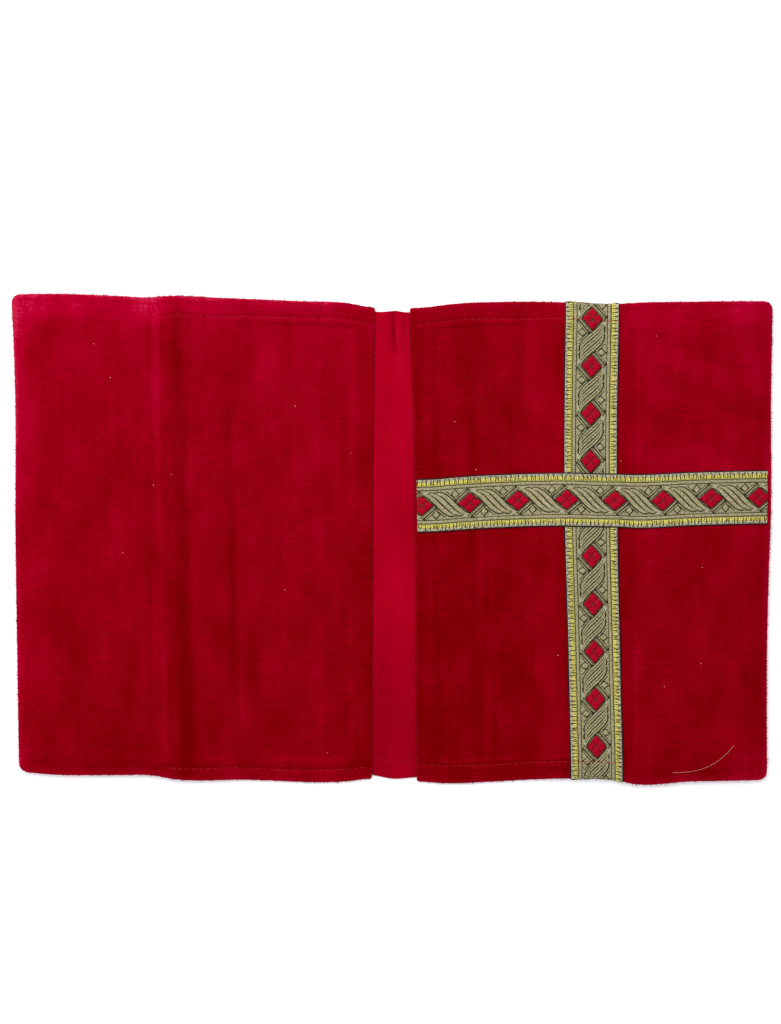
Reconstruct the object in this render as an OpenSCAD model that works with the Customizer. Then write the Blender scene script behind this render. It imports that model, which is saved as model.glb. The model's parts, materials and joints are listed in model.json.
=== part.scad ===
// Slip-on cloth cover for a prayer book, lying open on its inside with its outside up.
// Millimetres. X runs across the open cover from the back (-X) to the front (+X), Y from tail to head,
// and Z up from the table. The origin is on the table under the middle of the spine strip.

/* [Cover] */
// Height of a panel from tail to head
cover_h = 224; // [180:1:300]
// Width of a panel from its spine seam to its fore edge
panel_w = 166; // [140:1:210]
// Plan radius of the fore-edge corners
corner_r = 5; // [3:0.5:12]
// Thickness of the velvet, pile included
velvet_t = 1.0; // [0.6:0.1:1.4]

/* [Spine] */
// Width of the satin strip from seam to seam
spine_w = 20; // [14:1:40]
// How far the satin stops short of the panels at head and at tail
spine_short = 2; // [0:0.5:6]
// Thickness of the satin
satin_t = 0.4; // [0.2:0.05:0.4]

/* [Pockets] */
// Depth of a pocket from the fore edge to its mouth
pocket_d = 69; // [50:1:80]
// Clear height over the hem at a pocket's mouth, for the board of a book
board_play = 4.7; // [4.4:0.1:6]
// Width of the slope by which a panel rises from the table to its pocket
rise_w = 20; // [12:1:24]
// Level stretch of the raised panel between the slope and the climb of the cross band
shoulder_w = 1; // [1:0.5:4]
// Width of the seam allowance inside a pocket
allowance_w = 3; // [2:0.5:6]
// Thickness of the two pressed allowances
allowance_t = 0.8; // [0.4:0.1:1.2]

/* [Hems] */
// Width of cloth turned under at a hem
hem_w = 10; // [6:0.5:14]
// Distance from a hemmed edge to its line of stitches
hem_stitch_in = 8; // [4:0.5:12]
// Width of the velvet turned under along the spine seam
seam_turn_w = 8; // [4:0.5:12]
// Width of the satin turned under along the spine seam
satin_turn_w = 5; // [3:0.5:6]

/* [Woven bands] */
// Width of the woven band
band_w = 25.4; // [15:0.1:30]
// Thickness of the woven band
band_t = 0.6; // [0.3:0.1:1]
// Gap between the upright band and the mouth of the front pocket
band_to_mouth = 1.6; // [1:0.1:20]
// Height of the middle of the cross band above the cover's middle
cross_y = 18; // [-40:1:40]
// Bare velvet between the end of the cross band and the fore edge
cross_end_in = 2; // [1:0.5:10]
// Length over which the cross band climbs onto the upright band
climb = 3; // [1.5:0.5:6]
// Distance from a band's edge to its line of stitches
band_stitch_in = 1; // [0.5:0.1:3]

/* [Stitches] */
// Length from one stitch to the next
stitch_pitch = 3.3; // [2.5:0.1:4.5]
// Length of thread that shows in one stitch
stitch_len = 2.6; // [1.5:0.1:3]
// Diameter of the sewing thread
thread_d = 0.4; // [0.2:0.05:0.4]

/* [Hidden] */

// Running clearances: a panel's turned edge stands off the seam thread so that it can fold both ways.
seam_gap = satin_t + 0.1;
hairline = 0.02;

// Levels above the table
seam_z = velvet_t;                         // the fold axis, half way up a turned velvet edge
level_z = velvet_t + band_t;               // underside of a panel beside the spine, over its turned hem
raised_z = 2 * velvet_t + board_play;      // underside of a panel from the top of its slope outwards
top_z = raised_z + velvet_t;

// Places along X, for the front half
seam_x = spine_w / 2;                      // the fold axis
turn_x = seam_x + seam_gap + velvet_t;     // middle of the panel's turned edge
fore_x = seam_x + panel_w;
mouth_x = fore_x - pocket_d;
upright_x1 = mouth_x - band_to_mouth;
upright_x0 = upright_x1 - band_w;
cross_x0 = turn_x;
cross_x1 = fore_x - cross_end_in;
rise_x1 = upright_x0 - climb - shoulder_w; // top of the slope
rise_x0 = rise_x1 - rise_w;
level_x = turn_x + seam_turn_w;            // where the panel has come level beside the seam

// Places along Y
head_y = cover_h / 2;
fold_y = head_y - velvet_t;                // middle of the folded head edge
hem_row_y = head_y - hem_stitch_in;
spine_h = cover_h - 2 * spine_short;

thread_r = thread_d / 2;
fold_sides = 12;
round_sides = 48;

// Profile of the underside of a panel's sheet: beside the seam, level, up the slope and over the pocket
profile = [
    [turn_x, seam_z], [level_x, level_z], [rise_x0, level_z], [rise_x1, raised_z], [fore_x, raised_z]
];
function under(x) = lookup(x, profile);
function angle_between(a, b) = atan2(b[1] - a[1], b[0] - a[0]);
function tilt(x) =
    [for (i = [1 : len(profile) - 1])
        if (x <= profile[i][0]) angle_between(profile[i - 1], profile[i])][0];
// Places from x0 to x1 with each knee of the profile between them
function stretch(x0, x1) = concat([x0], [for (p = profile) if (p[0] > x0 && p[0] < x1) p[0]], [x1]);
function near_knee(x) = len([for (p = profile) if (abs(x - p[0]) < stitch_len / 2) p]) > 0;
// How far the cross band is lifted where it climbs over the upright band
function over_band(x) = lookup(x, [
    [upright_x0 - climb, 0], [upright_x0, band_t], [upright_x1, band_t], [upright_x1 + climb, 0]
]);
function on_upright(x) = x > upright_x0 && x < upright_x1;
function reversed(points) = [for (i = [len(points) - 1 : -1 : 0]) points[i]];

// A strip of cloth between two X stations, lift above the panel's underside, from y0 to y1
module strip(stations, lifts, thick, y0, y1) {
    low = [for (i = [0 : len(stations) - 1]) [stations[i], under(stations[i]) + lifts[i]]];
    high = [for (p = low) [p[0], p[1] + thick]];
    translate([0, (y0 + y1) / 2, 0])
        rotate([90, 0, 0])
            linear_extrude(height = y1 - y0, center = true)
                polygon(concat(low, reversed(high)));
}

// A strip that follows the panel at one height above its underside
module layer(x0, x1, lift, thick, y0, y1) {
    stations = stretch(x0, x1);
    strip(stations, [for (x = stations) lift], thick, y0, y1);
}

module at_head_and_tail() {
    children();
    mirror([0, 1, 0]) children();
}

// The rounded edge of cloth folded back on itself, along the panel's head or tail
module folded_edge(x0, x1) {
    stations = stretch(x0, x1);
    for (i = [1 : len(stations) - 1]) {
        from = stations[i - 1];
        angle = tilt(stations[i]);
        translate([from, fold_y, under(from)])
            rotate([0, 90 - angle, 0])
                cylinder(r = velvet_t * cos(angle), h = (stations[i] - from) / cos(angle), $fn = fold_sides);
    }
}

// Prism over the plan of one half from x0 outwards, with rounded fore-edge corners, between two heights.
// The inset draws it in from the head, tail and fore edge.
module plan_prism(x0, inset, z0, z1) {
    half = head_y - inset;
    edge = fore_x - inset;
    r = max(corner_r - inset, 0.5);
    translate([0, 0, z0]) {
        translate([x0, -half, 0]) cube([edge - r - x0, 2 * half, z1 - z0]);
        translate([edge - r - hairline, r - half, 0]) cube([r + hairline, 2 * (half - r), z1 - z0]);
        for (side = [-1, 1])
            translate([edge - r, side * (half - r), 0]) cylinder(r = r, h = z1 - z0, $fn = round_sides);
    }
}

// Outer velvet of the front half: sheet, hems at head and tail, and the edge turned under at the spine
module panel() {
    layer(turn_x, mouth_x, 0, velvet_t, -fold_y, fold_y);
    plan_prism(mouth_x, 0, raised_z, top_z);
    translate([turn_x, 0, seam_z])
        rotate([90, 0, 0]) cylinder(r = velvet_t, h = 2 * fold_y, center = true, $fn = fold_sides);
    layer(turn_x, turn_x + seam_turn_w, -velvet_t, velvet_t, hem_w - head_y, head_y - hem_w);
    at_head_and_tail() {
        layer(turn_x, mouth_x, -velvet_t, velvet_t, head_y - hem_w, fold_y);
        folded_edge(turn_x, mouth_x);
    }
}

// Velvet turned in at the fore edge: a flap sewn to the panel at head, tail and fore edge
module pocket() {
    fold_x = mouth_x + velvet_t;
    plan_prism(fold_x, 0, 0, velvet_t);
    difference() {
        plan_prism(fold_x, 0, 0, raised_z);
        plan_prism(fold_x - 1, velvet_t, velvet_t, raised_z + 1);
    }
    difference() {
        plan_prism(fold_x, velvet_t / 2, raised_z - allowance_t, raised_z);
        plan_prism(fold_x - 1, velvet_t + allowance_w, raised_z - allowance_t - 1, raised_z + 1);
    }
    translate([fold_x, -head_y + velvet_t / 2, velvet_t])
        cube([hem_w - velvet_t, cover_h - velvet_t, velvet_t]);
    translate([fold_x, 0, velvet_t])
        rotate([90, 0, 0]) cylinder(r = velvet_t, h = cover_h, center = true, $fn = fold_sides);
}

// One stitch of thread, lying along X at the origin and tipped to follow the cloth
module stitch(angle = 0) {
    rotate([0, 90 - angle, 0]) cylinder(r = thread_r, h = stitch_len, center = true, $fn = round_sides);
}

// A row of stitches along Y between two Y places
module row_along_y(x, z, y0, y1) {
    count = floor((y1 - y0 + stitch_pitch - stitch_len) / stitch_pitch);
    start = (y0 + y1 - (count - 1) * stitch_pitch) / 2;
    for (i = [0 : count - 1])
        translate([x, start + i * stitch_pitch, z]) rotate([0, 0, 90]) stitch();
}

// A row of stitches along X that lies on the panel, lift above its underside
module row_on_panel(y, x0, x1, lift, band_lift) {
    count = floor((x1 - x0 + stitch_pitch - stitch_len) / stitch_pitch);
    start = (x0 + x1 - (count - 1) * stitch_pitch) / 2;
    for (i = [0 : count - 1]) {
        x = start + i * stitch_pitch;
        clear = abs(x - upright_x0) > stitch_len / 2 && abs(x - upright_x1) > stitch_len / 2;
        off = (thread_r + hairline) / cos(tilt(x)) * sign(lift);
        if ((clear || band_lift == 0) && !near_knee(x))
            translate([x, y, under(x) + lift + off + (on_upright(x) ? band_lift : 0)]) stitch(tilt(x));
    }
}

// Needle and bobbin threads of the hems at head and tail. The bobbin thread shows where the panel is level,
// because beside the seam the hem is flat on the table.
module hem_stitching(band_lift) {
    at_head_and_tail() {
        row_on_panel(hem_row_y, turn_x + 1, mouth_x - 1, velvet_t, band_lift);
        row_on_panel(hem_row_y, level_x, mouth_x - 1, -velvet_t, -band_lift);
    }
}

// Thread of the seam that closes a pocket on three sides, on the inner face of the allowances
module pocket_seam_stitching() {
    z = raised_z - allowance_t - thread_r - hairline;
    in = velvet_t + thread_d;
    row_along_y(fore_x - in, z, corner_r - head_y, head_y - corner_r);
    at_head_and_tail()
        row_on_panel(head_y - in, mouth_x + hem_w, fore_x - corner_r, -allowance_t, 0);
}

// Thread of the hem along the mouth of a pocket
module pocket_hem_stitching() {
    inner_y = head_y - velvet_t - allowance_w;
    row_along_y(mouth_x + hem_stitch_in, 2 * velvet_t + thread_r + hairline, -inner_y, inner_y);
}

// Satin between the two seams, turned under along all four edges
module spine_strip() {
    half_w = seam_x - thread_r - hairline - satin_t;
    half_h = spine_h / 2 - satin_t;
    translate([-half_w, -half_h, seam_z]) cube([2 * half_w, 2 * half_h, satin_t]);
    for (side = [-1, 1]) {
        translate([side * half_w, 0, seam_z])
            rotate([90, 0, 0]) cylinder(r = satin_t, h = 2 * half_h, center = true, $fn = fold_sides);
        translate([side * (half_w - satin_turn_w / 2), 0, seam_z - satin_t / 2])
            cube([satin_turn_w, 2 * half_h, satin_t], center = true);
        translate([0, side * half_h, seam_z])
            rotate([0, 90, 0]) cylinder(r = satin_t, h = 2 * half_w, center = true, $fn = fold_sides);
        translate([0, side * (half_h - hem_w / 2), seam_z - satin_t / 2])
            cube([2 * half_w, hem_w, satin_t], center = true);
    }
}

module spine_hem_stitching() {
    span = spine_w - 2 * velvet_t - 1;
    count = floor((span + stitch_pitch - stitch_len) / stitch_pitch);
    y = spine_h / 2 - hem_stitch_in;
    off = satin_t + thread_r + hairline;
    at_head_and_tail()
        for (i = [0 : count - 1], side = [-1, 1])
            translate([(i - (count - 1) / 2) * stitch_pitch, y, seam_z + side * off]) stitch();
}

// Thread that joins a panel to the spine strip. It lies on the fold's own axis.
module seam_stitching() {
    row_along_y(seam_x, seam_z, satin_t - spine_h / 2, spine_h / 2 - satin_t);
}

// Woven band up the front panel, carried round the folded edges at head and tail with the hem
module upright_band() {
    layer(upright_x0, upright_x1, velvet_t, band_t, -fold_y, fold_y);
    at_head_and_tail() {
        layer(upright_x0, upright_x1, -velvet_t - band_t, band_t, head_y - hem_w, fold_y);
        translate([upright_x0, fold_y, raised_z])
            rotate([90, 0, 90])
                linear_extrude(height = band_w)
                    intersection() {
                        difference() {
                            circle(r = velvet_t + band_t, $fn = round_sides);
                            circle(r = velvet_t, $fn = round_sides);
                        }
                        translate([0, -2 * top_z]) square([2 * top_z, 4 * top_z]);
                    }
    }
}

// Woven band from the spine seam to the fore edge, over the upright band
module cross_band() {
    stations = [
        cross_x0, level_x, rise_x0, rise_x1,
        upright_x0 - climb, upright_x0, upright_x1, upright_x1 + climb, cross_x1
    ];
    lifts = [for (x = stations) velvet_t + over_band(x)];
    strip(stations, lifts, band_t, cross_y - band_w / 2, cross_y + band_w / 2);
}

module upright_band_stitching() {
    z = top_z + band_t + thread_r + hairline;
    gap_low = cross_y - band_w / 2 - stitch_len / 2;
    gap_high = cross_y + band_w / 2 + stitch_len / 2;
    for (x = [upright_x0 + band_stitch_in, upright_x1 - band_stitch_in]) {
        row_along_y(x, z, -hem_row_y + 1, gap_low);
        row_along_y(x, z, gap_high, hem_row_y - 1);
    }
}

module cross_band_stitching() {
    lift = velvet_t + band_t;
    for (side = [-1, 1]) {
        y = cross_y + side * (band_w / 2 - band_stitch_in);
        row_on_panel(y, cross_x0 + 1, upright_x0 - climb - 1, lift, 0);
        row_on_panel(y, upright_x0 + 1, upright_x1 - 1, lift + band_t, 0);
        row_on_panel(y, upright_x1 + climb + 1, cross_x1 - 1, lift, 0);
    }
}

module back_half() {
    mirror([1, 0, 0]) children();
}

module velvet() { color("crimson") children(); }
module satin() { color([0.68, 0.02, 0.13]) children(); }
module woven() { color([0.66, 0.62, 0.44]) children(); }
module thread() { color([0.75, 0.1, 0.16]) children(); }

satin() spine_strip();
thread() spine_hem_stitching();
thread() back_half() seam_stitching();  // back_seam_stitching
thread() seam_stitching();  // front_seam_stitching
velvet() back_half() panel();  // back_panel
velvet() back_half() pocket();  // back_pocket
thread() back_half() hem_stitching(0);  // back_hem_stitching
thread() back_half() pocket_seam_stitching();  // back_pocket_seam_stitching
thread() back_half() pocket_hem_stitching();  // back_pocket_hem_stitching
velvet() panel();  // front_panel
velvet() pocket();  // front_pocket
thread() hem_stitching(band_t);  // front_hem_stitching
thread() pocket_seam_stitching();  // front_pocket_seam_stitching
thread() pocket_hem_stitching();  // front_pocket_hem_stitching
woven() upright_band();
woven() cross_band();
thread() upright_band_stitching();
thread() cross_band_stitching();
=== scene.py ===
"""Looks of a slip-on velvet cover for a prayer book, which lies open with its outside up.

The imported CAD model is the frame: it gives every size and place. This file makes the cloth, the woven bands and
the sewing thread round it. Lengths inside the classes are in millimetres, and become metres in a mesh.
"""

import json
import logging
import math
import random
from dataclasses import dataclass, field
from enum import Enum

import bpy
import numpy as np
from mathutils import Matrix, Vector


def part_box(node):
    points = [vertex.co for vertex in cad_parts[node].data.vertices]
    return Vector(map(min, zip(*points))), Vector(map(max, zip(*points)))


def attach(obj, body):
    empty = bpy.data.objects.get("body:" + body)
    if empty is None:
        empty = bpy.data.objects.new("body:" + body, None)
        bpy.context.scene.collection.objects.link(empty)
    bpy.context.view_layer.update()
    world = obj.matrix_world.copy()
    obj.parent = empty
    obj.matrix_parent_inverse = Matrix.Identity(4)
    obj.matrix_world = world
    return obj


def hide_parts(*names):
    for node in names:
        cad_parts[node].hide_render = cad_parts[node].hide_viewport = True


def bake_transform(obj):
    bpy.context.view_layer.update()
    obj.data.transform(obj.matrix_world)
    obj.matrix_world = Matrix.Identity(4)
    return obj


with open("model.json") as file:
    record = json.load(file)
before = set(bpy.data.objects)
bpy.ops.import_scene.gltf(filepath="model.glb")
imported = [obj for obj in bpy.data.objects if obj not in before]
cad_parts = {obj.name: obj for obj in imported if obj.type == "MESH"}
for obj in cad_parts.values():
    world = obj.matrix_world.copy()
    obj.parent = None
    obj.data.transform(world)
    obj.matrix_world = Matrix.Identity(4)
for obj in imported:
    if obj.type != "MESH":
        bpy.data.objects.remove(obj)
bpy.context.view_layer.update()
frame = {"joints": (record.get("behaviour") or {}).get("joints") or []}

log = logging.getLogger("cover")

MM = 0.001


# ---------------------------------------------------------------------------------------------- shared helpers


def srgb(code: str) -> tuple[float, float, float, float]:
    """Turns an sRGB hex colour into the linear colour that a shader takes.

    Args:
        code: Six hex digits, such as "a00020".

    Returns:
        Linear red, green, blue and an alpha of 1.
    """
    parts = [int(code[i : i + 2], 16) / 255 for i in (0, 2, 4)]
    linear = [c / 12.92 if c <= 0.04045 else ((c + 0.055) / 1.055) ** 2.4 for c in parts]
    return (*linear, 1.0)


def smooth(low: float, high: float, value: np.ndarray) -> np.ndarray:
    """Rises smoothly from 0 at low to 1 at high.

    Args:
        low: Value at which the rise starts.
        high: Value at which it ends.
        value: The values to read.

    Returns:
        The share of the rise, between 0 and 1.
    """
    t = np.clip((np.asarray(value, float) - low) / (high - low), 0, 1)
    return t * t * (3 - 2 * t)


def bump(centre: float, width: float, value: np.ndarray) -> np.ndarray:
    """A soft rise and fall, 1 at the centre.

    Args:
        centre: Where the bump is highest.
        width: Half its width, where it has fallen to about a third.
        value: The values to read.

    Returns:
        The height of the bump at each value.
    """
    return np.exp(-(((np.asarray(value, float) - centre) / width) ** 2))


class Line:
    """A smooth curve y(x) through a few given points."""

    def __init__(self, points: list[tuple[float, float]]) -> None:
        """Samples the curve finely.

        Args:
            points: The points, in order of x.
        """
        x, y = (np.array(v, float) for v in zip(*points))
        slopes = np.gradient(y, x)
        self.x = np.linspace(x[0], x[-1], 1200)
        i = np.clip(np.searchsorted(x, self.x, side="right") - 1, 0, len(x) - 2)
        h = x[i + 1] - x[i]
        t = (self.x - x[i]) / h
        start, end = 2 * t**3 - 3 * t**2 + 1, 3 * t**2 - 2 * t**3
        self.y = start * y[i] + end * y[i + 1]
        self.y += h * ((t**3 - 2 * t**2 + t) * slopes[i] + (t**3 - t**2) * slopes[i + 1])

    def __call__(self, x: np.ndarray) -> np.ndarray:
        """The curve's height at each x."""
        return np.interp(x, self.x, self.y)


def stations(*spans: tuple[float, float, float]) -> np.ndarray:
    """Places along a line, from spans that follow on from each other.

    Args:
        *spans: For each span its start, its end and the step wanted in it.

    Returns:
        The places, from the first start to the last end.
    """
    places = [spans[0][0]]
    for start, end, step in spans:
        count = max(1, round(abs(end - start) / step))
        places += list(np.linspace(start, end, count + 1)[1:])
    return np.array(places)


def deselect() -> None:
    """Deselects every object, because operators act on all that is selected."""
    bpy.ops.object.select_all(action="DESELECT")


def select_only(piece: bpy.types.Object) -> None:
    """Makes one object the selected and active one."""
    deselect()
    piece.select_set(True)
    bpy.context.view_layer.objects.active = piece


def in_edit_mode(piece: bpy.types.Object, *operators) -> None:
    """Runs operators on the whole mesh in edit mode.

    Args:
        piece: The mesh object.
        *operators: Functions without arguments, run in order.
    """
    select_only(piece)
    bpy.ops.object.mode_set(mode="EDIT")
    bpy.ops.mesh.select_all(action="SELECT")
    for operator in operators:
        operator()
    bpy.ops.object.mode_set(mode="OBJECT")


def cloth_grid(name: str, u: np.ndarray, v: np.ndarray) -> tuple[bpy.types.Object, np.ndarray, np.ndarray]:
    """Adds a flat grid and says which place of the cut cloth each point has.

    Args:
        name: Name of the piece.
        u: Places of the columns, rising.
        v: Places of the rows, rising.

    Returns:
        The object, and u and v at each of its points.
    """
    deselect()
    bpy.ops.mesh.primitive_grid_add(x_subdivisions=len(u) - 1, y_subdivisions=len(v) - 1, size=1)
    piece = bpy.context.active_object
    piece.name = piece.data.name = name
    at = read_points(piece)
    column = np.rint((at[:, 0] + 0.5) * (len(u) - 1)).astype(int)
    row = np.rint((at[:, 1] + 0.5) * (len(v) - 1)).astype(int)
    return piece, u[column], v[row]


def read_points(piece: bpy.types.Object) -> np.ndarray:
    """The points of a mesh, one row each."""
    at = np.empty(len(piece.data.vertices) * 3)
    piece.data.vertices.foreach_get("co", at)
    return at.reshape(-1, 3)


def write_points(piece: bpy.types.Object, at: np.ndarray) -> None:
    """Moves the points of a mesh to new places, in metres."""
    piece.data.vertices.foreach_set("co", at.astype(np.float32).ravel())
    piece.data.update()


def apply_modifier(piece: bpy.types.Object, kind: str, **settings) -> None:
    """Adds a modifier and applies it.

    Args:
        piece: The mesh object.
        kind: Blender's name for the modifier.
        **settings: Its settings.
    """
    select_only(piece)
    modifier = piece.modifiers.new(kind.title(), kind)
    for key, value in settings.items():
        setattr(modifier, key, value)
    bpy.ops.object.modifier_apply(modifier=modifier.name)


def dress(piece: bpy.types.Object, *materials: bpy.types.Material) -> None:
    """Gives a mesh its materials, one slot each."""
    for material in materials:
        piece.data.materials.append(material)


def finish_mesh(piece: bpy.types.Object, *materials: bpy.types.Material) -> None:
    """Gives a mesh its materials, unless it has them, and smooth shading.

    Args:
        piece: The mesh object.
        *materials: The materials of its slots, in order.
    """
    dress(piece, *materials)
    select_only(piece)
    bpy.ops.object.shade_smooth()
    deselect()


def delete_points(piece: bpy.types.Object, spare: np.ndarray) -> None:
    """Deletes the marked points of a mesh, with their faces."""
    select_only(piece)
    bpy.context.tool_settings.mesh_select_mode = (True, False, False)
    bpy.ops.object.mode_set(mode="EDIT")
    bpy.ops.mesh.select_all(action="DESELECT")
    bpy.ops.object.mode_set(mode="OBJECT")
    piece.data.vertices.foreach_set("select", spare.astype(bool))
    bpy.ops.object.mode_set(mode="EDIT")
    bpy.ops.mesh.delete(type="VERT")
    bpy.ops.object.mode_set(mode="OBJECT")


def store(piece: bpy.types.Object, name: str, values: np.ndarray) -> None:
    """Keeps one number for each point of a mesh, for a material to read."""
    attribute = piece.data.attributes.new(name, "FLOAT", "POINT")
    attribute.data.foreach_set("value", np.asarray(values, np.float32))


def many(name: str, template: bpy.types.Object, places: list[Matrix]) -> bpy.types.Object:
    """Copies one small shape to many places as a single mesh, and removes the shape.

    Args:
        name: Name of the new piece.
        template: The shape, modelled once at the origin in millimetres.
        places: Where each copy goes, in millimetres.

    Returns:
        The new object, in metres.
    """
    shape = np.c_[read_points(template), np.ones(len(template.data.vertices))]
    faces = [tuple(p.vertices) for p in template.data.polygons]
    count = len(shape)
    at = np.vstack([(shape @ np.array(m).T)[:, :3] for m in places]) * MM
    joined = [tuple(i + k * count for i in f) for k in range(len(places)) for f in faces]
    mesh = bpy.data.meshes.new(name)
    mesh.from_pydata(at.tolist(), [], joined)
    mesh.update()
    piece = bpy.data.objects.new(name, mesh)
    bpy.context.collection.objects.link(piece)
    bpy.data.objects.remove(template)
    return piece


def facing(at: np.ndarray, along: np.ndarray, up: np.ndarray, scale: tuple[float, float, float]) -> Matrix:
    """A placement with X along one direction and Z near another.

    Args:
        at: The place.
        along: Direction of the shape's X.
        up: Direction that the shape's Z leans to.
        scale: Size along the shape's own X, Y and Z.

    Returns:
        The placement as a 4 by 4 matrix.
    """
    x = np.asarray(along, float) / np.linalg.norm(along)
    y = np.cross(up, x)
    y /= np.linalg.norm(y)
    z = np.cross(x, y)
    m = np.eye(4)
    m[:3, 0], m[:3, 1], m[:3, 2], m[:3, 3] = x * scale[0], y * scale[1], z * scale[2], at
    return Matrix(m.tolist())


# -------------------------------------------------------------------------------------------------- finishes


class Slot(Enum):
    """The record's material slots."""

    VELVET = "velvet"
    SATIN = "satin"
    GALLOON = "galloon"
    THREAD = "thread"


def add_node(tree: bpy.types.NodeTree, kind: str, links: dict | None = None, **settings) -> bpy.types.Node:
    """Adds a shader node with its settings and links.

    Args:
        tree: The material's node tree.
        kind: Blender's name for the node.
        links: For each input, by name or number, an output to link or a value to set.
        **settings: The node's own settings.

    Returns:
        The new node.
    """
    node = tree.nodes.new(kind)
    for key, value in settings.items():
        setattr(node, key, value)
    for key, value in (links or {}).items():
        if isinstance(value, bpy.types.NodeSocket):
            tree.links.new(value, node.inputs[key])
        else:
            node.inputs[key].default_value = value
    return node


def new_material(name: str, **shader) -> tuple[bpy.types.Material, bpy.types.NodeTree, bpy.types.Node]:
    """Starts a material with its shader's own values set.

    Args:
        name: Name of the material.
        **shader: Values for the shader's sockets, with _ for a space.

    Returns:
        The material, its node tree and its Principled shader.
    """
    material = bpy.data.materials.new(name)
    material.use_nodes = True
    tree = material.node_tree
    principled = tree.nodes["Principled BSDF"]
    for key, value in shader.items():
        principled.inputs[key.replace("_", " ")].default_value = value
    return material, tree, principled


def ramp(tree: bpy.types.NodeTree, factor: bpy.types.NodeSocket, *stops: tuple[float, str]) -> bpy.types.NodeSocket:
    """Colours along a factor.

    Args:
        tree: The material's node tree.
        factor: What the colours follow.
        *stops: Each stop's place and its sRGB colour, in order.

    Returns:
        The colour output.
    """
    node = add_node(tree, "ShaderNodeValToRGB", {"Fac": factor})
    while len(node.color_ramp.elements) < len(stops):
        node.color_ramp.elements.new(0.5)
    for element, (place, code) in zip(node.color_ramp.elements, stops):
        element.position, element.color = place, srgb(code)
    return node.outputs["Color"]


def noise_of(tree: bpy.types.NodeTree, where: bpy.types.NodeSocket, size_mm: float, detail: float = 2.0,
             stretch: tuple[float, float, float] = (1, 1, 1)) -> bpy.types.NodeSocket:
    """Soft noise with grains of a real size.

    Args:
        tree: The material's node tree.
        where: Object coordinates, in metres.
        size_mm: Size of a grain.
        detail: How much finer noise it holds.
        stretch: How much longer a grain is along X, Y and Z.

    Returns:
        The noise, about 0.5 on average.
    """
    scale = tuple(1 / (size_mm * MM * s) for s in stretch)
    at = add_node(tree, "ShaderNodeMapping", {"Vector": where, "Scale": scale})
    node = add_node(tree, "ShaderNodeTexNoise", {"Vector": at.outputs[0], "Scale": 1.0, "Detail": detail})
    return node.outputs["Fac"]


def wave_scale(period_mm: float) -> float:
    """Scale of a wave texture whose bands are this far apart; its own waves are 20 radians in a unit."""
    return 2 * math.pi / 20 / (period_mm * MM)


def maths(tree: bpy.types.NodeTree, operation: str, a, b, c=0.0) -> bpy.types.NodeSocket:
    """One sum on values or outputs.

    Args:
        tree: The material's node tree.
        operation: Blender's name for the sum.
        a: First value or output.
        b: Second value or output.
        c: Third value or output, where the sum takes one.

    Returns:
        The result.
    """
    return add_node(tree, "ShaderNodeMath", {0: a, 1: b, 2: c}, operation=operation).outputs[0]


@dataclass(frozen=True)
class CottonVelvet:
    """Cotton velvet, cut pile about 1 mm long: darker or lighter with the pile's lay, and with painted light and
    shade.
    """

    name: str = "cotton_velvet_crimson"
    deep: str = "700002"
    middle: str = "8a0012"
    light: str = "a20026"
    pale_hairs_and_painted_sheen: str = "b41a3c"
    nap_mm: float = 1.1
    patch_mm: float = 20.0

    def make(self) -> bpy.types.Material:
        """Makes the material. A point attribute gives how far the pile lies over, with painted light and shade added.
        """
        sheen = {"Sheen_Weight": 0.3, "Sheen_Roughness": 0.4, "Sheen_Tint": srgb("ff1838")}
        material, tree, shader = new_material(self.name, Roughness=0.9, Specular_IOR_Level=0.0, **sheen)
        where = add_node(tree, "ShaderNodeTexCoord").outputs["Object"]
        tone_and_painted_light = add_node(tree, "ShaderNodeAttribute", attribute_name="tone_and_painted_light").outputs["Fac"]
        patches = noise_of(tree, where, self.patch_mm, 4.0, (0.7, 1.2, 1.0))
        down = noise_of(tree, where, 5.0, 2.0, (0.5, 7.0, 1.0))
        across = noise_of(tree, where, 1.3, 2.0, (7.0, 0.8, 1.0))
        nap = noise_of(tree, where, self.nap_mm, 3.0)
        hairs = add_node(tree, "ShaderNodeMapRange", {"Value": noise_of(tree, where, 0.9, 1.0, (1.3, 0.7, 1.0)),
                                                      "From Min": 0.7, "From Max": 0.85, "To Max": 0.4})
        value = maths(tree, "SUBTRACT", tone_and_painted_light, 0.5 * (0.8 + 0.3 + 0.35 + 0.55) + 0.04)
        for noise, share in ((patches, 0.8), (down, 0.3), (across, 0.35), (nap, 0.55), (hairs.outputs[0], 1.0)):
            value = maths(tree, "MULTIPLY_ADD", noise, share, value)
        # The ramp carries painted light and shade from the point attribute; its pale top stop stands for pale hairs
        # and for the painted highlight along folded edges.
        colour = ramp(tree, value, (0.0, self.deep), (0.42, self.middle), (0.84, self.light), (1.0, self.pale_hairs_and_painted_sheen))
        tree.links.new(colour, shader.inputs["Base Color"])
        tufts = noise_of(tree, where, 0.6, 2.0)
        relief = add_node(tree, "ShaderNodeBump", {"Strength": 0.5, "Distance": 0.0006, "Height": tufts})
        tree.links.new(relief.outputs[0], shader.inputs["Normal"])
        return material


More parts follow.
